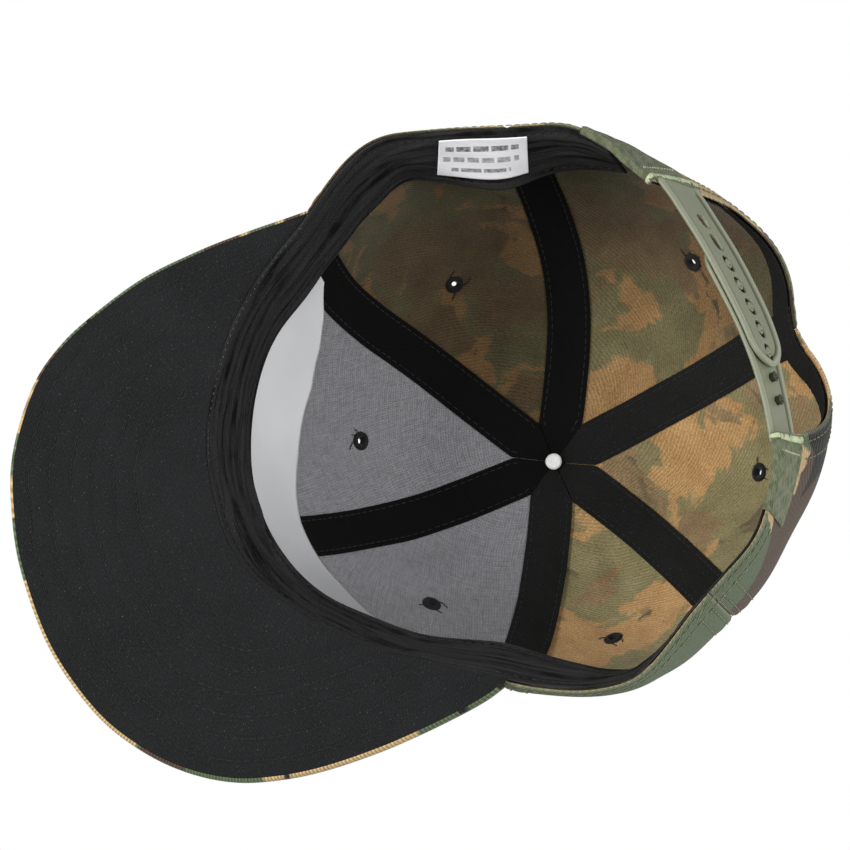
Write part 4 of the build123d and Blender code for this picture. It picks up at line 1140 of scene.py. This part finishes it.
# the sewn edge turns out under the hem and down to the rim
out = P - np.array([AP[0], AP[1], 0.0])
out[..., 2] = 0
out = unit(out)
fr = (1 - sstep(v, 0.0, 0.16))[None, :, None]
P = P + out * fr * 0.85 - np.array([0, 0, 1.0]) * fr * 1.35
Nb = grid_normals(P)
cen = np.array([AP[0], AP[1], 15.0])
if (Nb[100, 10] @ (cen - P[100, 10])) < 0:
    Nb = -Nb
arc = np.concatenate([[0], np.cumsum(np.linalg.norm(np.diff(P[:, nv // 2], axis=0), axis=1))])
s2, v2 = arc[:, None] + 0 * v[None], v[None] * 33.0 + 0 * arc[:, None]
wr = 0.8 * waves(s2 * 0.16, v2, 77, 7, 6.0, 14.0) + 0.3 * waves(s2 * 0.4, v2, 78, 6, 3.2, 7.0)
env = sstep(v2, 0.5, 4.0) * (1 - sstep(v2, 29.5, 32.5)) * (0.55 + 0.45 * np.clip(waves(s2, v2 * 0.2, 79, 4, 30, 90), -1, 1))
env = np.clip(env, 0, 1)
phi_c = phi[:, None]
env = env * (1 - 0.92 * sstep(phi_c, 454, 460) * (1 - sstep(phi_c, 486, 492)))
rowd = -0.3 * np.exp(-((v2 - 3.2) / 0.6) ** 2) - 0.22 * np.exp(-((v2 - 29.0) / 0.6) ** 2)
inner_t = 0.45 + np.clip(wr * env * 0.95 + rowd, -0.38, 1.15)
edge = np.sqrt(np.clip(1 - (1 - np.clip(np.minimum(v2, 33.0 - v2) / 0.7, 0, 1)) ** 2, 0.03, 1))
A = P + Nb * (inner_t * edge)[..., None]
B = P - Nb * (0.42 * edge)[..., None]
cloth = np.stack([s2, v2, 0 * s2], -1)
ob = shell("vis_sweatband", A, B, [BAND_MAT], None, {"cloth": cloth}, split=(0, 0, 0))
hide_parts("sweatband")
iv = int(3.2 / 33 * (nv - 1))
row1 = (P[:, iv] + Nb[:, iv] * 0.36, Nb[:, iv])
iv = int(29.0 / 33 * (nv - 1))
row2 = (P[:, iv] + Nb[:, iv] * 0.42, Nb[:, iv])
ob = stitches("vis_sweatband_stitches", [row1, row2], BAND_THREAD, pitch=3.2, length=2.2, w=0.2, h=0.16)

ia = np.nonzero((phi > 372) & (phi < 418))[0]
iv = 1
row3 = (P[ia, iv] + Nb[ia, iv] * 0.34, Nb[ia, iv])
ob = stitches("vis_visor_join_stitches", [row3], PALE_THREAD, pitch=2.6, length=0.9, w=0.16, h=0.13)

# ---------------------------------------------------------------- front shape strip
a = np.linspace(0, 1, 220)
b = np.linspace(0, 1, 36)
ph = -39.5 + 98.0 * a
se = np.array(STRIP_EDGE)
topu = np.interp(ph, se[:, 0], se[:, 1])
for _ in range(6):
    topu[1:-1] = (topu[:-2] + topu[1:-1] * 2 + topu[2:]) / 4
U = 1.32 + (topu - 1.32)[:, None] * b[None]
PHI = ph[:, None] + 0 * U
pk = 0.12 * waves(PHI * 1.7, U * 20, 91, 5, 25, 60)
A, B = S(PHI, U, -1.65 + 0 * pk), S(PHI, U, -2.05 + np.minimum(pk, 0.15))
cloth = np.stack([PHI * 1.75, U * 20, 0 * U], -1)
ob = shell("vis_front_shape_strip", A, B, [STRIP_MAT], None, {"cloth": cloth}, split=(0, 0, 0))
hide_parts("front_shape_strip")

# ---------------------------------------------------------------- care label
LABEL_PHI, LABEL_LEAN, LABEL_V = (102.8, 124.0), (-3.2, -1.6), (0.04, 0.74)
na, nb = 60, 50
a = np.linspace(0, 1, na)
b = np.linspace(0, 1, nb)
P = np.zeros((na, nb, 3))
for j, bb in enumerate(b):
    p0, p1 = LABEL_PHI[0] + LABEL_LEAN[0] * bb, LABEL_PHI[1] + LABEL_LEAN[1] * bb
    vv = LABEL_V[0] + (LABEL_V[1] - LABEL_V[0]) * bb
    P[:, j] = band_surface(p0 + (p1 - p0) * a, [vv])[:, 0]
NL = grid_normals(P)
if (NL[30, 25] @ (cen - P[30, 25])) < 0:
    NL = -NL
curl = 1.35 + 0.25 * (b[None] ** 2) + 0.12 * waves(a[:, None] * 30, b[None] * 22, 14, 4, 12, 40)
P = P + NL * curl[..., None]
A, B = P + NL * 0.17, P - NL * 0.15
cloth = np.stack([30.0 * a[:, None] + 0 * b[None], 14.2 * b[None] + 0 * a[:, None], 0 * a[:, None] + 0 * b[None]], -1)
ob = shell("vis_care_label", A, B, [LABEL_MAT, LABEL_MAT], None, {"cloth": cloth}, split=(0, 0, 0), ride="label")
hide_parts("care_label")

# ---------------------------------------------------------------- arch binding
n = 150
wcol = np.linspace(1.4, 14.0, 19)
cols = np.stack([arch_walk(w, n) for w in wcol], 1)
wmax = 10.6 + 3.2 * np.sin(np.linspace(0, math.pi, n)) ** 0.7
ws = 1.4 + (wmax - 1.4)[:, None] * np.linspace(0, 1, 16)[None]
Q = np.stack([np.stack([np.interp(ws[i], wcol, cols[i, :, c]) for i in range(n)]) for c in (0, 1)], -1)
sarc = np.linspace(0, 95.0, n)[:, None] + 0 * ws
rel = -0.16 * np.exp(-((ws - 6.5) / 2.5) ** 2) - 0.07 * np.sin(sarc * 2 * math.pi / 3.0) + 0.16 * np.exp(-((ws - 4.0) / 0.6) ** 2)
A, B = S(Q[..., 0], Q[..., 1], -0.95 + 0 * rel), S(Q[..., 0], Q[..., 1], -1.4 + rel)
cloth = np.stack([sarc, ws, 0 * sarc], -1)
ob = shell("vis_arch_binding", A, B, [TAPE_MAT], None, {"cloth": cloth}, split=(0, 0, 0))
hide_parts("arch_binding")

# ---------------------------------------------------------------- strap tabs
tab_threads = []


def tab_mid(end0, end1, far, a, b):
    ti, to = -0.5, PANEL_T + 0.55
    f = np.clip((b - 0.35) / 0.15, 0, 1)
    u = np.where(b < 0.35, 0.9 * (1 - b / 0.35), np.where(b < 0.5, 0.0, 0.98 * (b - 0.5) / 0.5))
    t = ti + (to - ti) * (1 - np.cos(math.pi * f)) / 2
    zo = np.where((b >= 0.35) & (b < 0.5), -0.75 * np.sin(math.pi * f), 0.0)
    end = end0 + (end1 - end0) * u
    phi = end + (far - end) * a
    p = S(phi, u, t)
    p[..., 2] += zo
    return p


for name, e0, e1, far, k in (("strap_tab_left", 150.6, 154.3, 134.5, 0), ("strap_tab_right", 208.0, 204.3, 221.5, 1)):
    a = np.linspace(0, 1, 64)
    b = np.concatenate([np.linspace(0, 0.33, 26), np.linspace(0.345, 0.505, 26), np.linspace(0.52, 1, 46)])
    AA, BB = np.meshgrid(a, b, indexing="ij")
    P = tab_mid(e0, e1, far, AA, BB)
    Nt = grid_normals(P)
    # outward on the outer leg
    j = 80
    if Nt[30, j] @ (P[30, j] - cen) < 0:
        Nt = -Nt
    wide = np.linalg.norm(P[-1, 80] - P[0, 80])
    x = AA * wide
    y = BB * 58.0
    puff = 0.28 * np.exp(-((x - 1.0) / 1.3) ** 2) - 0.3 * np.exp(-((x - 3.0) / 0.7) ** 2) + 0.14 * np.sin(y * 2 * math.pi / 2.4) * np.exp(-((x - 1.2) / 1.4) ** 2)
    puff = puff + 0.26 * waves(x * 0.5, y * 1.4, 200 + k, 6, 5, 14)
    eb = np.clip(np.minimum(np.minimum(BB * 58, (1 - BB) * 58), np.minimum(x, wide - x)) / 0.7, 0, 1)
    edge = np.sqrt(np.clip(1 - (1 - eb) ** 2, 0.08, 1))
    A = P + Nt * ((0.34 + puff * 0.8) * edge)[..., None]
    B = P - Nt * (0.26 * edge)[..., None]
    cloth = np.stack([x + 40 + 300 * k, y + 20, 0 * x], -1)
    pt = np.zeros(P.shape)
    pt[..., 0] = 0.4
    pt[..., 1] = -0.35
    pt[..., 2] = -0.4
    # aux x spreads the lighter mix over the whole tab: a painted highlight
    ob = shell("vis_" + name, A, B, [CAMO_OUT, CAMO_IN], None, {"cloth": cloth, "aux": np.stack([0.75 + 0.5 * waves(x, y, 230 + k, 5, 3, 9), x, y], -1), "paint": pt}, split=(0, 1, 0))
    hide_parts(name)
    # overlock along the mouth: slanting stitches that wrap the edge, and a zigzag inboard
    jj = np.linspace(52, 96, 30).astype(int)
    for q in range(len(jj) - 1):
        j0, j1 = jj[q], jj[q + 1]
        tab_threads.append((P[1, j0] + Nt[1, j0] * 0.5, P[6, j1] + Nt[6, j1] * 0.42, Nt[3, j0]))
        tab_threads.append((P[6, j1] + Nt[6, j1] * 0.42, P[1, j1] + Nt[1, j1] * 0.5, Nt[3, j1]))
    jj = np.linspace(28, 50, 14).astype(int)
    for q in range(len(jj) - 1):
        j0, j1 = jj[q], jj[q + 1]
        tab_threads.append((P[1, j0] + Nt[1, j0] * 0.5, P[5, j1] + Nt[5, j1] * 0.42, Nt[3, j0]))
    i = 14
    jj = np.linspace(54, 94, 15)
    for q in range(len(jj) - 1):
        j0, j1 = int(jj[q]), int(jj[q] + 2)
        tab_threads.append((P[i, j0] + Nt[i, j0] * 0.36, P[i, j1] + Nt[i, j1] * 0.36, Nt[i, j0]))
ob = thread_object("vis_tab_stitches", tab_threads, SAGE_THREAD, 0.34, 0.28)


# ---------------------------------------------------------------- visor
def dense(pts, n):
    pts = np.asarray(pts, float)
    m = len(pts)
    seg = np.concatenate([[0], np.cumsum(np.linalg.norm(np.diff(pts, axis=0), axis=1))])
    q = np.linspace(0, seg[-1], n)
    ext = np.concatenate([2 * pts[:1] - pts[1:2], pts, 2 * pts[-1:] - pts[-2:-1]])
    i = np.clip(np.searchsorted(seg, q, side="right") - 1, 0, m - 2)
    t = ((q - seg[i]) / (seg[i + 1] - seg[i]))[:, None]
    return cr(ext[i], ext[i + 1], ext[i + 2], ext[i + 3], t)


VISOR_END = 61.0
vo = [list(p) for p in VISOR_OUT]
vo[0] = list(M(VISOR_END, 0.0)[:2] + NRM(VISOR_END, 0.0)[:2] * 1.5)
vo[-1] = list(M(-VISOR_END, 0.0)[:2] + NRM(-VISOR_END, 0.0)[:2] * 1.7)
NS = 380
OUTL = dense(vo, NS)
tg = unit(np.gradient(OUTL, axis=0))
NOUT = np.stack([tg[:, 1], -tg[:, 0]], 1)
if NOUT[NS // 2] @ (OUTL[NS // 2] - np.array([0, -85.0])) < 0:
    NOUT = -NOUT
jphi = np.linspace(VISOR_END, -VISOR_END, NS)
JOIN = (M(jphi, 0.0 * jphi) - NRM(jphi, 0.0 * jphi) * 0.95)[:, :2]
arc_out = np.concatenate([[0], np.cumsum(np.linalg.norm(np.diff(OUTL, axis=0), axis=1))])


def plane_pt(xy, z):
    return np.concatenate([xy, (z + visor_z(xy[..., 0], xy[..., 1]))[..., None]], -1)


def outline_distance(XY):
    sh = XY.shape[:-1]
    Q = XY.reshape(-1, 2)
    best = np.full(len(Q), 1e9)
    arcv = np.zeros(len(Q))
    for s0 in range(0, len(Q), 8000):
        d = np.linalg.norm(Q[s0:s0 + 8000, None] - OUTL[None, 4:-4], axis=-1)
        k = d.argmin(1)
        best[s0:s0 + 8000] = d[np.arange(len(k)), k]
        arcv[s0:s0 + 8000] = arc_out[4 + k]
    return best.reshape(sh), arcv.reshape(sh)


VROWS = [7.0, 14.5, 22.0, 29.5, 37.0, 44.5]


def plate(inset, r):
    """r (m,) from the free edge (0) to the join (1)"""
    e = OUTL - NOUT * inset
    return e[:, None] * (1 - r[None, :, None]) + JOIN[:, None] * r[None, :, None]


# under cover
r = np.concatenate([[0, 0.004, 0.009, 0.016], np.linspace(0.024, 1, 130)])
XY = plate(1.3, r)
D, ARCV = outline_distance(XY)
rowg = sum(np.exp(-((D - q) / 0.75) ** 2) for q in VROWS)
pk = 0.5 + 0.5 * np.sin(ARCV * 2 * math.pi / 3.1)
swell = sum(np.exp(-((D - q - 3.7) / 2.4) ** 2) for q in VROWS)
dd = np.clip((D - 1.3) / 0.8, 0, 1)
edge = np.sqrt(np.clip(1 - (1 - dd) ** 2, 0.05, 1))
zb = 0.0 + rowg * (0.22 + 0.1 * pk) - 0.10 * swell + 0.06 * waves(XY[..., 0], XY[..., 1], 41, 6, 18, 60)
zt = np.full_like(zb, 0.86)
mid = (zb + zt) / 2
A = plane_pt(XY, mid + (zt - mid) * edge)
B = plane_pt(XY, mid + (zb - mid) * edge)
cloth = np.stack([XY[..., 0] + 5000, XY[..., 1], 0 * D], -1)
ob = shell("vis_visor_under_cover", A, B, [VISOR_MAT], None, {"cloth": cloth}, split=(0, 0, 0))
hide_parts("visor_under_cover")

# board
r = np.linspace(0, 1, 40)
XY = plate(1.9, r)
A, B = plane_pt(XY, np.full(XY.shape[:-1], 3.05)), plane_pt(XY, np.full(XY.shape[:-1], 1.12))
ob = shell("vis_visor_board", A, B, [BOARD], None, {"cloth": np.concatenate([XY, 0 * XY[..., :1]], -1)}, split=(0, 0, 0))
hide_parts("visor_board")

# top cover, rolled round the edge
lipn = 15
th = np.linspace(math.pi, 0, lipn)[:-1]
rr = np.linspace(0, 1, 120)
e = OUTL
XYt = plate(1.35, rr)
Dt, ARCT = outline_distance(XYt)
rowg = sum(np.exp(-((Dt - q) / 0.75) ** 2) for q in VROWS)
swell = sum(np.exp(-((Dt - q - 3.7) / 2.4) ** 2) for q in VROWS)
pk = 0.5 + 0.5 * np.sin(ARCT * 2 * math.pi / 3.1)
zt = 4.2 - rowg * (0.2 + 0.1 * pk) + 0.08 * swell
OUTG = plane_pt(XYt, zt)
ING = plane_pt(XYt, np.full_like(zt, 3.3))
lip_o, lip_i = [], []
for t in th:
    ins, z = 1.35 - 1.35 * math.sin(t), 2.1 - 2.1 * math.cos(math.pi - t)
    z = 2.1 + 2.1 * math.cos(t)
    ins2, z2 = 1.35 - 0.62 * math.sin(t), 2.1 + 1.25 * math.cos(t)
    lip_o.append(plane_pt(OUTL - NOUT * ins, np.full(NS, z)))
    lip_i.append(plane_pt(OUTL - NOUT * ins2, np.full(NS, z2)))
A = np.concatenate([np.stack(lip_o, 1), OUTG], 1)
B = np.concatenate([np.stack(lip_i, 1), ING], 1)
xy_all = A[..., :2]
dist_all = np.concatenate([np.tile((np.linspace(-4.5, -0.3, len(th)))[None], (NS, 1)), Dt], 1)
cl = np.stack([xy_all[..., 0] + 7000, xy_all[..., 1], 0 * dist_all], -1)
cl[..., :2] += (NOUT[:, None] * np.where(dist_all < 0, -dist_all - 0.3, 0)[..., None])
ptv = blend_print([(np.hypot(A[..., 0] - x, A[..., 1] - y) / r, k) for (x, y, r, k) in PRINT_VISOR])
ob = shell("vis_visor_top_cover", A, B, [CAMO_OUT], None,
           {"cloth": cl, "aux": np.stack([np.abs(dist_all + 2.3) + 0.6, dist_all, dist_all], -1), "paint": ptv}, split=(0, 0, 0))
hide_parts("visor_top_cover")


def inset_rows(z, side):
    out = []
    for q in VROWS:
        P = OUTL - NOUT * q
        # the row ends where it meets the crown
        phi_n = np.degrees(np.arctan2(P[:, 0] - AP[0], -(P[:, 1] - AP[1])))
        rad = np.linalg.norm(P - np.array(AP), axis=1)
        rim = np.linalg.norm(M(phi_n, 0 * phi_n)[:, :2] - np.array(AP), axis=1)
        ok = (rad > rim + 3.2) & (np.gradient(P[:, 0]) * np.gradient(OUTL[:, 0]) + np.gradient(P[:, 1]) * np.gradient(OUTL[:, 1]) > 0)
        idx = np.nonzero(ok)[0]
        if len(idx) < 12:
            continue
        run = P[idx[0]:idx[-1] + 1]
        pts = plane_pt(run, np.full(len(run), z))
        nn = np.tile(np.array([0, 0, side]), (len(run), 1))
        out.append((pts, nn))
    return out


ob = stitches("vis_visor_stitches_under", inset_rows(0.16, -1.0), BLACK_THREAD, pitch=3.1, length=2.3, w=0.2, h=0.15)
ob = stitches("vis_visor_stitches_top", inset_rows(4.02, 1.0), OLIVE_THREAD, pitch=3.1, length=2.3, w=0.24, h=0.2)

# ---------------------------------------------------------------- eyelets
for k, nm in enumerate(EYELETS):
    c, nrm = eye_at[nm]
    front = "front" in nm
    lo = (-0.7 - 0.15 if front else -0.2) - 0.05
    hi = PANEL_T + 0.12
    r0, r1 = 1.15, 3.4
    rc, rh = (r0 + r1) / 2, (r1 - r0) / 2
    prof = []
    zm = (lo + hi) / 2
    prof.append((0.85, zm))
    for t in np.linspace(0.25, math.pi, 10):
        prof.append((rc - rh * math.cos(t) + 0.42 * (1 - sstep(t, 0.2, 1.6)), lo - 0.8 * math.sin(t)))
    prof += [(1.95, lo + 0.12), (1.95, hi - 0.12)]
    for t in np.linspace(0, math.pi - 0.25, 10):
        prof.append((rc + rh * math.cos(t) + 0.42 * sstep(t, 1.5, 2.9), hi + 0.75 * math.sin(t)))
    rs = np.random.RandomState(300 + k)
    jit = rs.rand(96)

    def relief(t, r, z, jit=jit, lo=lo, hi=hi):
        w = math.sin(26 * t + 0.6) * 0.5 + (jit[int(t / 6.2832 * 96) % 96] - 0.5) * 0.9
        out = (r - 1.05) / 2.3
        r2 = r + np.where(r > 1.3, 0.17 * w * np.clip(out, 0, 1), 0)
        z2 = z + np.where(z < lo - 0.1, -0.12 * w, np.where(z > hi + 0.1, 0.12 * w, 0))
        return r2, z2
    ob = revolve_at("vis_" + nm, prof, c, nrm, [BLACK_THREAD], seg=96, relief=relief)
    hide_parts(nm)
    # thread tails on the inside
    e1 = unit(np.cross(nrm, [0.2, 0.1, 1.0]))
    e2 = np.cross(nrm, e1)
    for q in range(3):
        an = rs.rand() * 6.283
        L = 1.6 + 3.0 * rs.rand()
        bend = (rs.rand() - 0.5) * 1.6
        pts = []
        for s in np.linspace(0, 1, 8):
            aa = an + bend * s
            rad = 2.6 + L * s
            pts.append(c + (e1 * math.cos(aa) + e2 * math.sin(aa)) * rad + nrm * (lo - 0.42 - 0.35 * math.sin(math.pi * s) + 0.2 * s))
        tb = tube("vis_tail_%d_%d" % (k, q), pts, 0.17, BLACK_THREAD)

# ---------------------------------------------------------------- button and rivet
top_z = 116.0 + PANEL_T + 0.3
prof = [(0.0, top_z + 0.5), (6.6, top_z - 0.05), (7.3, top_z + 0.1), (7.55, top_z + 0.6), (7.4, top_z + 1.3), (6.7, top_z + 2.2), (5.4, top_z + 3.1), (3.6, top_z + 3.75), (1.8, top_z + 4.05), (0.0, top_z + 4.1)]
prof2 = []
for (p, q) in zip(prof[:-1], prof[1:]):
    for s in (0, 0.5):
        prof2.append((p[0] + (q[0] - p[0]) * s, p[1] + (q[1] - p[1]) * s))
prof2.append(prof[-1])
prof2[0] = (0.05, prof2[0][1])
prof2[-1] = (0.05, prof2[-1][1])


def button_relief(t, r, z):
    w = 0.12 * math.sin(9 * t + 1.1) + 0.07 * math.sin(17 * t)
    k = np.clip((r - 3.5) / 4.0, 0, 1)
    return r + w * k * (z > top_z + 0.2), z - 0.5 * w * k * (z > top_z + 0.2)


ob = revolve_at("vis_button_cap", prof2, np.array([AP[0], AP[1], 0.0]), np.array([0, 0, 1.0]), [CAMO_OUT], seg=72, relief=button_relief, closed=False)
at = ob.data.attributes.new("paint", "FLOAT_VECTOR", "POINT")
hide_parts("button_cap")
rz = 116.0 - 1.4 - 0.35
prof = [(0.05, rz - 1.05), (0.9, rz - 1.2), (1.9, rz - 1.25), (2.6, rz - 1.05), (3.0, rz - 0.6), (3.02, rz - 0.15), (2.85, rz), (1.4, rz), (1.25, rz + 0.2), (1.25, top_z + 0.4), (0.05, top_z + 0.4)]
ob = revolve_at("vis_button_rivet", prof, np.array([AP[0], AP[1], 0.0]), np.array([0, 0, 1.0]), [ENAMEL], seg=64,
                relief=lambda t, r, z: (r * (1 + 0.012 * math.sin(3 * t)), z), closed=False)
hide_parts("button_rivet")


# ---------------------------------------------------------------- snap straps
SB, ST = dense(STRAP_BOT, 400), dense(STRAP_TOP, 400)


def strap_pt(s, v):
    k = np.asarray(s, float) * 399
    i = np.clip(np.floor(k).astype(int), 0, 398)
    f = (k - i)[..., None]
    b = SB[i] * (1 - f) + SB[i + 1] * f
    t = ST[i] * (1 - f) + ST[i + 1] * f
    v = v[..., None]
    xy = b * (1 - v) + t * v
    z = STRAP_Z[0] * (1 - v) + STRAP_Z[1] * v
    return np.concatenate([xy, z], -1)


def strap_nrm(s, v):
    a = strap_pt(s + 0.02, v) - strap_pt(s - 0.02, v)
    b = strap_pt(s, v + 0.1) - strap_pt(s, v - 0.1)
    n = unit(np.cross(a, b))
    return n * np.where(n[..., 1:2] > 0, 1.0, -1.0)


SLEN = 89.8
SW = 20.4


def strap(name, s_root, s_tip, t0, t1, slots, body):
    na, nb = 230, 57
    sgn = 1.0 if s_tip > s_root else -1.0
    L = abs(s_tip - s_root) * SLEN
    x = np.linspace(0, 1, na) ** 0.9 * L
    R = SW / 2
    w = np.linspace(-1, 1, nb)
    w = 0.75 * w + 0.25 * np.sin(w * math.pi / 2)
    left = np.clip(L - x, 0, None)
    # the half-round tip, reached with a finer spacing
    tipx = np.concatenate([x[left > R], L - R + R * np.sin(np.linspace(0, math.pi / 2, 60))])
    x = tipx
    left = L - x
    k = np.where(left >= R, 1.0, np.sqrt(np.clip(1 - ((R - left) / R) ** 2, 0.0004, 1)))
    X = x[:, None] + 0 * w[None]
    Y = w[None] * R * k[:, None]
    keep = None
    inside = np.zeros(X.shape, bool)
    if slots:
        for sc in SLOT_S:
            cx = abs(sc - s_root) * SLEN
            cy = (SLOT_V - 0.5) * SW
            hx = (SLOT_L - SLOT_H) / 2
            for _ in range(3):
                dx = X - cx
                ex = dx - np.clip(dx, -hx, hx)
                ey = Y - cy
                dd = np.hypot(ex, ey) + 1e-9
                sd = dd - SLOT_H / 2
                m = np.abs(sd) < 0.3
                X = np.where(m, X - ex / dd * sd, X)
                Y = np.where(m, Y - ey / dd * sd, Y)
            dx = X - cx
            ex = dx - np.clip(dx, -hx, hx)
            inside |= (np.hypot(ex, Y - cy) - SLOT_H / 2) < 0.02
        keep = ~(inside[:-1, :-1] & inside[1:, :-1] & inside[:-1, 1:] & inside[1:, 1:])
    # distance in from the outline
    xc = L - R
    din = np.where(X < xc, R - np.abs(Y), R - np.hypot(X - xc, Y))
    groove = np.exp(-((din - 3.1) / 0.42) ** 2)
    step_in = sstep(din, 2.6, 3.2)
    near_root = 1 - sstep(X, 1.0, 4.0)
    face = -0.38 * step_in * (1 - near_root) - 0.28 * groove * (1 - near_root)
    rim_highlight = np.exp(-((din - 1.3) / 0.8) ** 2)
    edge = np.sqrt(np.clip(1 - (1 - np.clip(din / 0.45, 0, 1)) ** 2, 0.06, 1))
    s = s_root + sgn * X / SLEN
    v = 0.5 + Y / SW
    N = strap_nrm(s, v)
    P = strap_pt(s, v)
    mid, half = (t0 + t1) / 2, (t1 - t0) / 2
    A = P + N * (mid + (half + face) * edge)[..., None]
    B = P + N * (mid - half * edge)[..., None]
    cloth = np.stack([X + (0 if slots else 400), Y, 0 * X], -1)
    # aux x: painted shade in the groove; aux y: painted highlight along the rim
    aux = np.stack([np.clip(groove * 1.1, 0, 1) * (1 - near_root), rim_highlight, 0 * X], -1)
    ob = shell(name, A, B, [PLASTIC], keep, {"cloth": cloth, "aux": aux}, split=(0, 0, 0), ride=body)
    return ob


SL_T = (STRAP_SPLIT, STRAP_SPLIT + STRAP_T)
PG_T = (-STRAP_SPLIT - STRAP_T, -STRAP_SPLIT)
ob = strap("vis_snap_strap_slotted", -0.03, SLOTTED_END, SL_T[0], SL_T[1], True, "strap_outer")
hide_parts("snap_strap_slotted")
ob = strap("vis_snap_strap_pegged", 1.055, PEGGED_END, PG_T[0], PG_T[1], False, "strap_inner")
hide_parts("snap_strap_pegged")
for k, sc in enumerate(PEG_S):
    s1, v1 = np.array(sc), np.array(SLOT_V)
    c = strap_pt(s1, v1)
    n = strap_nrm(s1, v1)
    b0 = -STRAP_SPLIT - 0.35
    prof = [(0.05, b0), (1.5, b0), (1.48, b0 + 0.9), (1.5, b0 + 1.3), (1.72, b0 + 1.55), (1.74, b0 + 1.75), (1.6, b0 + 1.95), (1.25, b0 + 2.0), (1.0, b0 + 1.9), (0.9, b0 + 1.2), (0.05, b0 + 1.1)]
    ob = revolve_at("vis_snap_peg_%d" % (k + 1), prof, c, n, [PLASTIC], seg=40, relief=lambda t, r, z: (r * (1 + 0.09 * math.cos(4 * t)), z), ride="strap_inner", closed=False)
    # the two free pegs are darkened all over (painted shadow); the engaged pegs get a faint painted highlight
    at = ob.data.attributes["aux"]
    at.data.foreach_set("vector", np.tile(np.array([0, 0.2, 0] if k < 5 else [1.15, 0, 0], dtype=np.float32), len(ob.data.vertices)))

# ---------------------------------------------------------------- floor, light, camera
lowz = min(float(q[2]) for q in CAD_BOX)
me = bpy.data.meshes.new("floor")
me.from_pydata([(-4, -4, lowz), (4, -4, lowz), (4, 4, lowz), (-4, 4, lowz)], [], [(0, 1, 2, 3)])
floor = bpy.data.objects.new("floor", me)
bpy.context.scene.collection.objects.link(floor)
fm = bpy.data.materials.new("floor_pale")
fm.use_nodes = True
t = fm.node_tree
t.nodes.clear()
o = t.nodes.new("ShaderNodeOutputMaterial")
d = t.nodes.new("ShaderNodeBsdfDiffuse")
d.inputs[0].default_value = (0.86, 0.86, 0.86, 1)
tr = t.nodes.new("ShaderNodeBsdfTransparent")
g = t.nodes.new("ShaderNodeNewGeometry")
mx = t.nodes.new("ShaderNodeMixShader")
t.links.new(g.outputs["Backfacing"], mx.inputs[0])
t.links.new(d.outputs[0], mx.inputs[1])
t.links.new(tr.outputs[0], mx.inputs[2])
t.links.new(mx.outputs[0], o.inputs[0])
me.materials.append(fm)
floor.visible_shadow = False
floor.visible_diffuse = False
floor.visible_glossy = False
floor.visible_transmission = False

world = bpy.data.worlds.new("studio")
bpy.context.scene.world = world
world.use_nodes = True
t = world.node_tree
t.nodes.clear()
wo = t.nodes.new("ShaderNodeOutputWorld")
bg1 = t.nodes.new("ShaderNodeBackground")
bg1.inputs[0].default_value = (1, 1, 1, 1)
bg1.inputs[1].default_value = 1.0
bg2 = t.nodes.new("ShaderNodeBackground")
bg2.inputs[0].default_value = (0.97, 0.98, 1.0, 1)
bg2.inputs[1].default_value = 0.54
lp = t.nodes.new("ShaderNodeLightPath")
mx = t.nodes.new("ShaderNodeMixShader")
t.links.new(lp.outputs["Is Camera Ray"], mx.inputs[0])
t.links.new(bg2.outputs[0], mx.inputs[1])
t.links.new(bg1.outputs[0], mx.inputs[2])
t.links.new(mx.outputs[0], wo.inputs[0])


def area_light(name, loc, aim, size, power, col=(1, 1, 1)):
    ld = bpy.data.lights.new(name, "AREA")
    ld.shape = "SQUARE"
    ld.size = size
    ld.energy = power
    ld.color = col
    lo = bpy.data.objects.new(name, ld)
    bpy.context.scene.collection.objects.link(lo)
    lo.location = loc
    v = Vector(aim) - Vector(loc)
    lo.rotation_euler = v.to_track_quat("-Z", "Y").to_euler()
    lo.visible_camera = False
    return lo


area_light("key_below", (0.42, -0.85, -1.0), (-0.02, 0.0, 0.04), 0.6, 17.0, (1.0, 0.985, 0.96))
area_light("fill_below", (-0.45, 0.8, -1.0), (0.0, -0.04, 0.04), 0.7, 11.0)
area_light("key_above", (0.7, -0.9, 1.1), (0, -0.03, 0.05), 0.7, 20.0, (1.0, 0.99, 0.97))
area_light("fill_above", (-0.9, 0.6, 0.9), (0, 0, 0.05), 0.9, 8.0)

cam = bpy.data.cameras.new("photo_camera")
co = bpy.data.objects.new("photo_camera", cam)
bpy.context.scene.collection.objects.link(co)
right = Vector((-0.38281, 0.90465, 0.18731))
up = Vector((0.89221, 0.41462, -0.17907))
fwd = Vector((0.23965, -0.09857, 0.96584))
m3 = Matrix((right, up, -fwd)).transposed()
co.matrix_world = Matrix.Translation((-0.3071, 0.1068, -1.2556)) @ m3.to_4x4()
cam.sensor_width = 36.0
cam.lens = 162.87
cam.clip_start = 0.05
cam.clip_end = 30.0
cam.dof.use_dof = False
bpy.context.scene.camera = co
bpy.context.scene.view_settings.view_transform = "Standard"
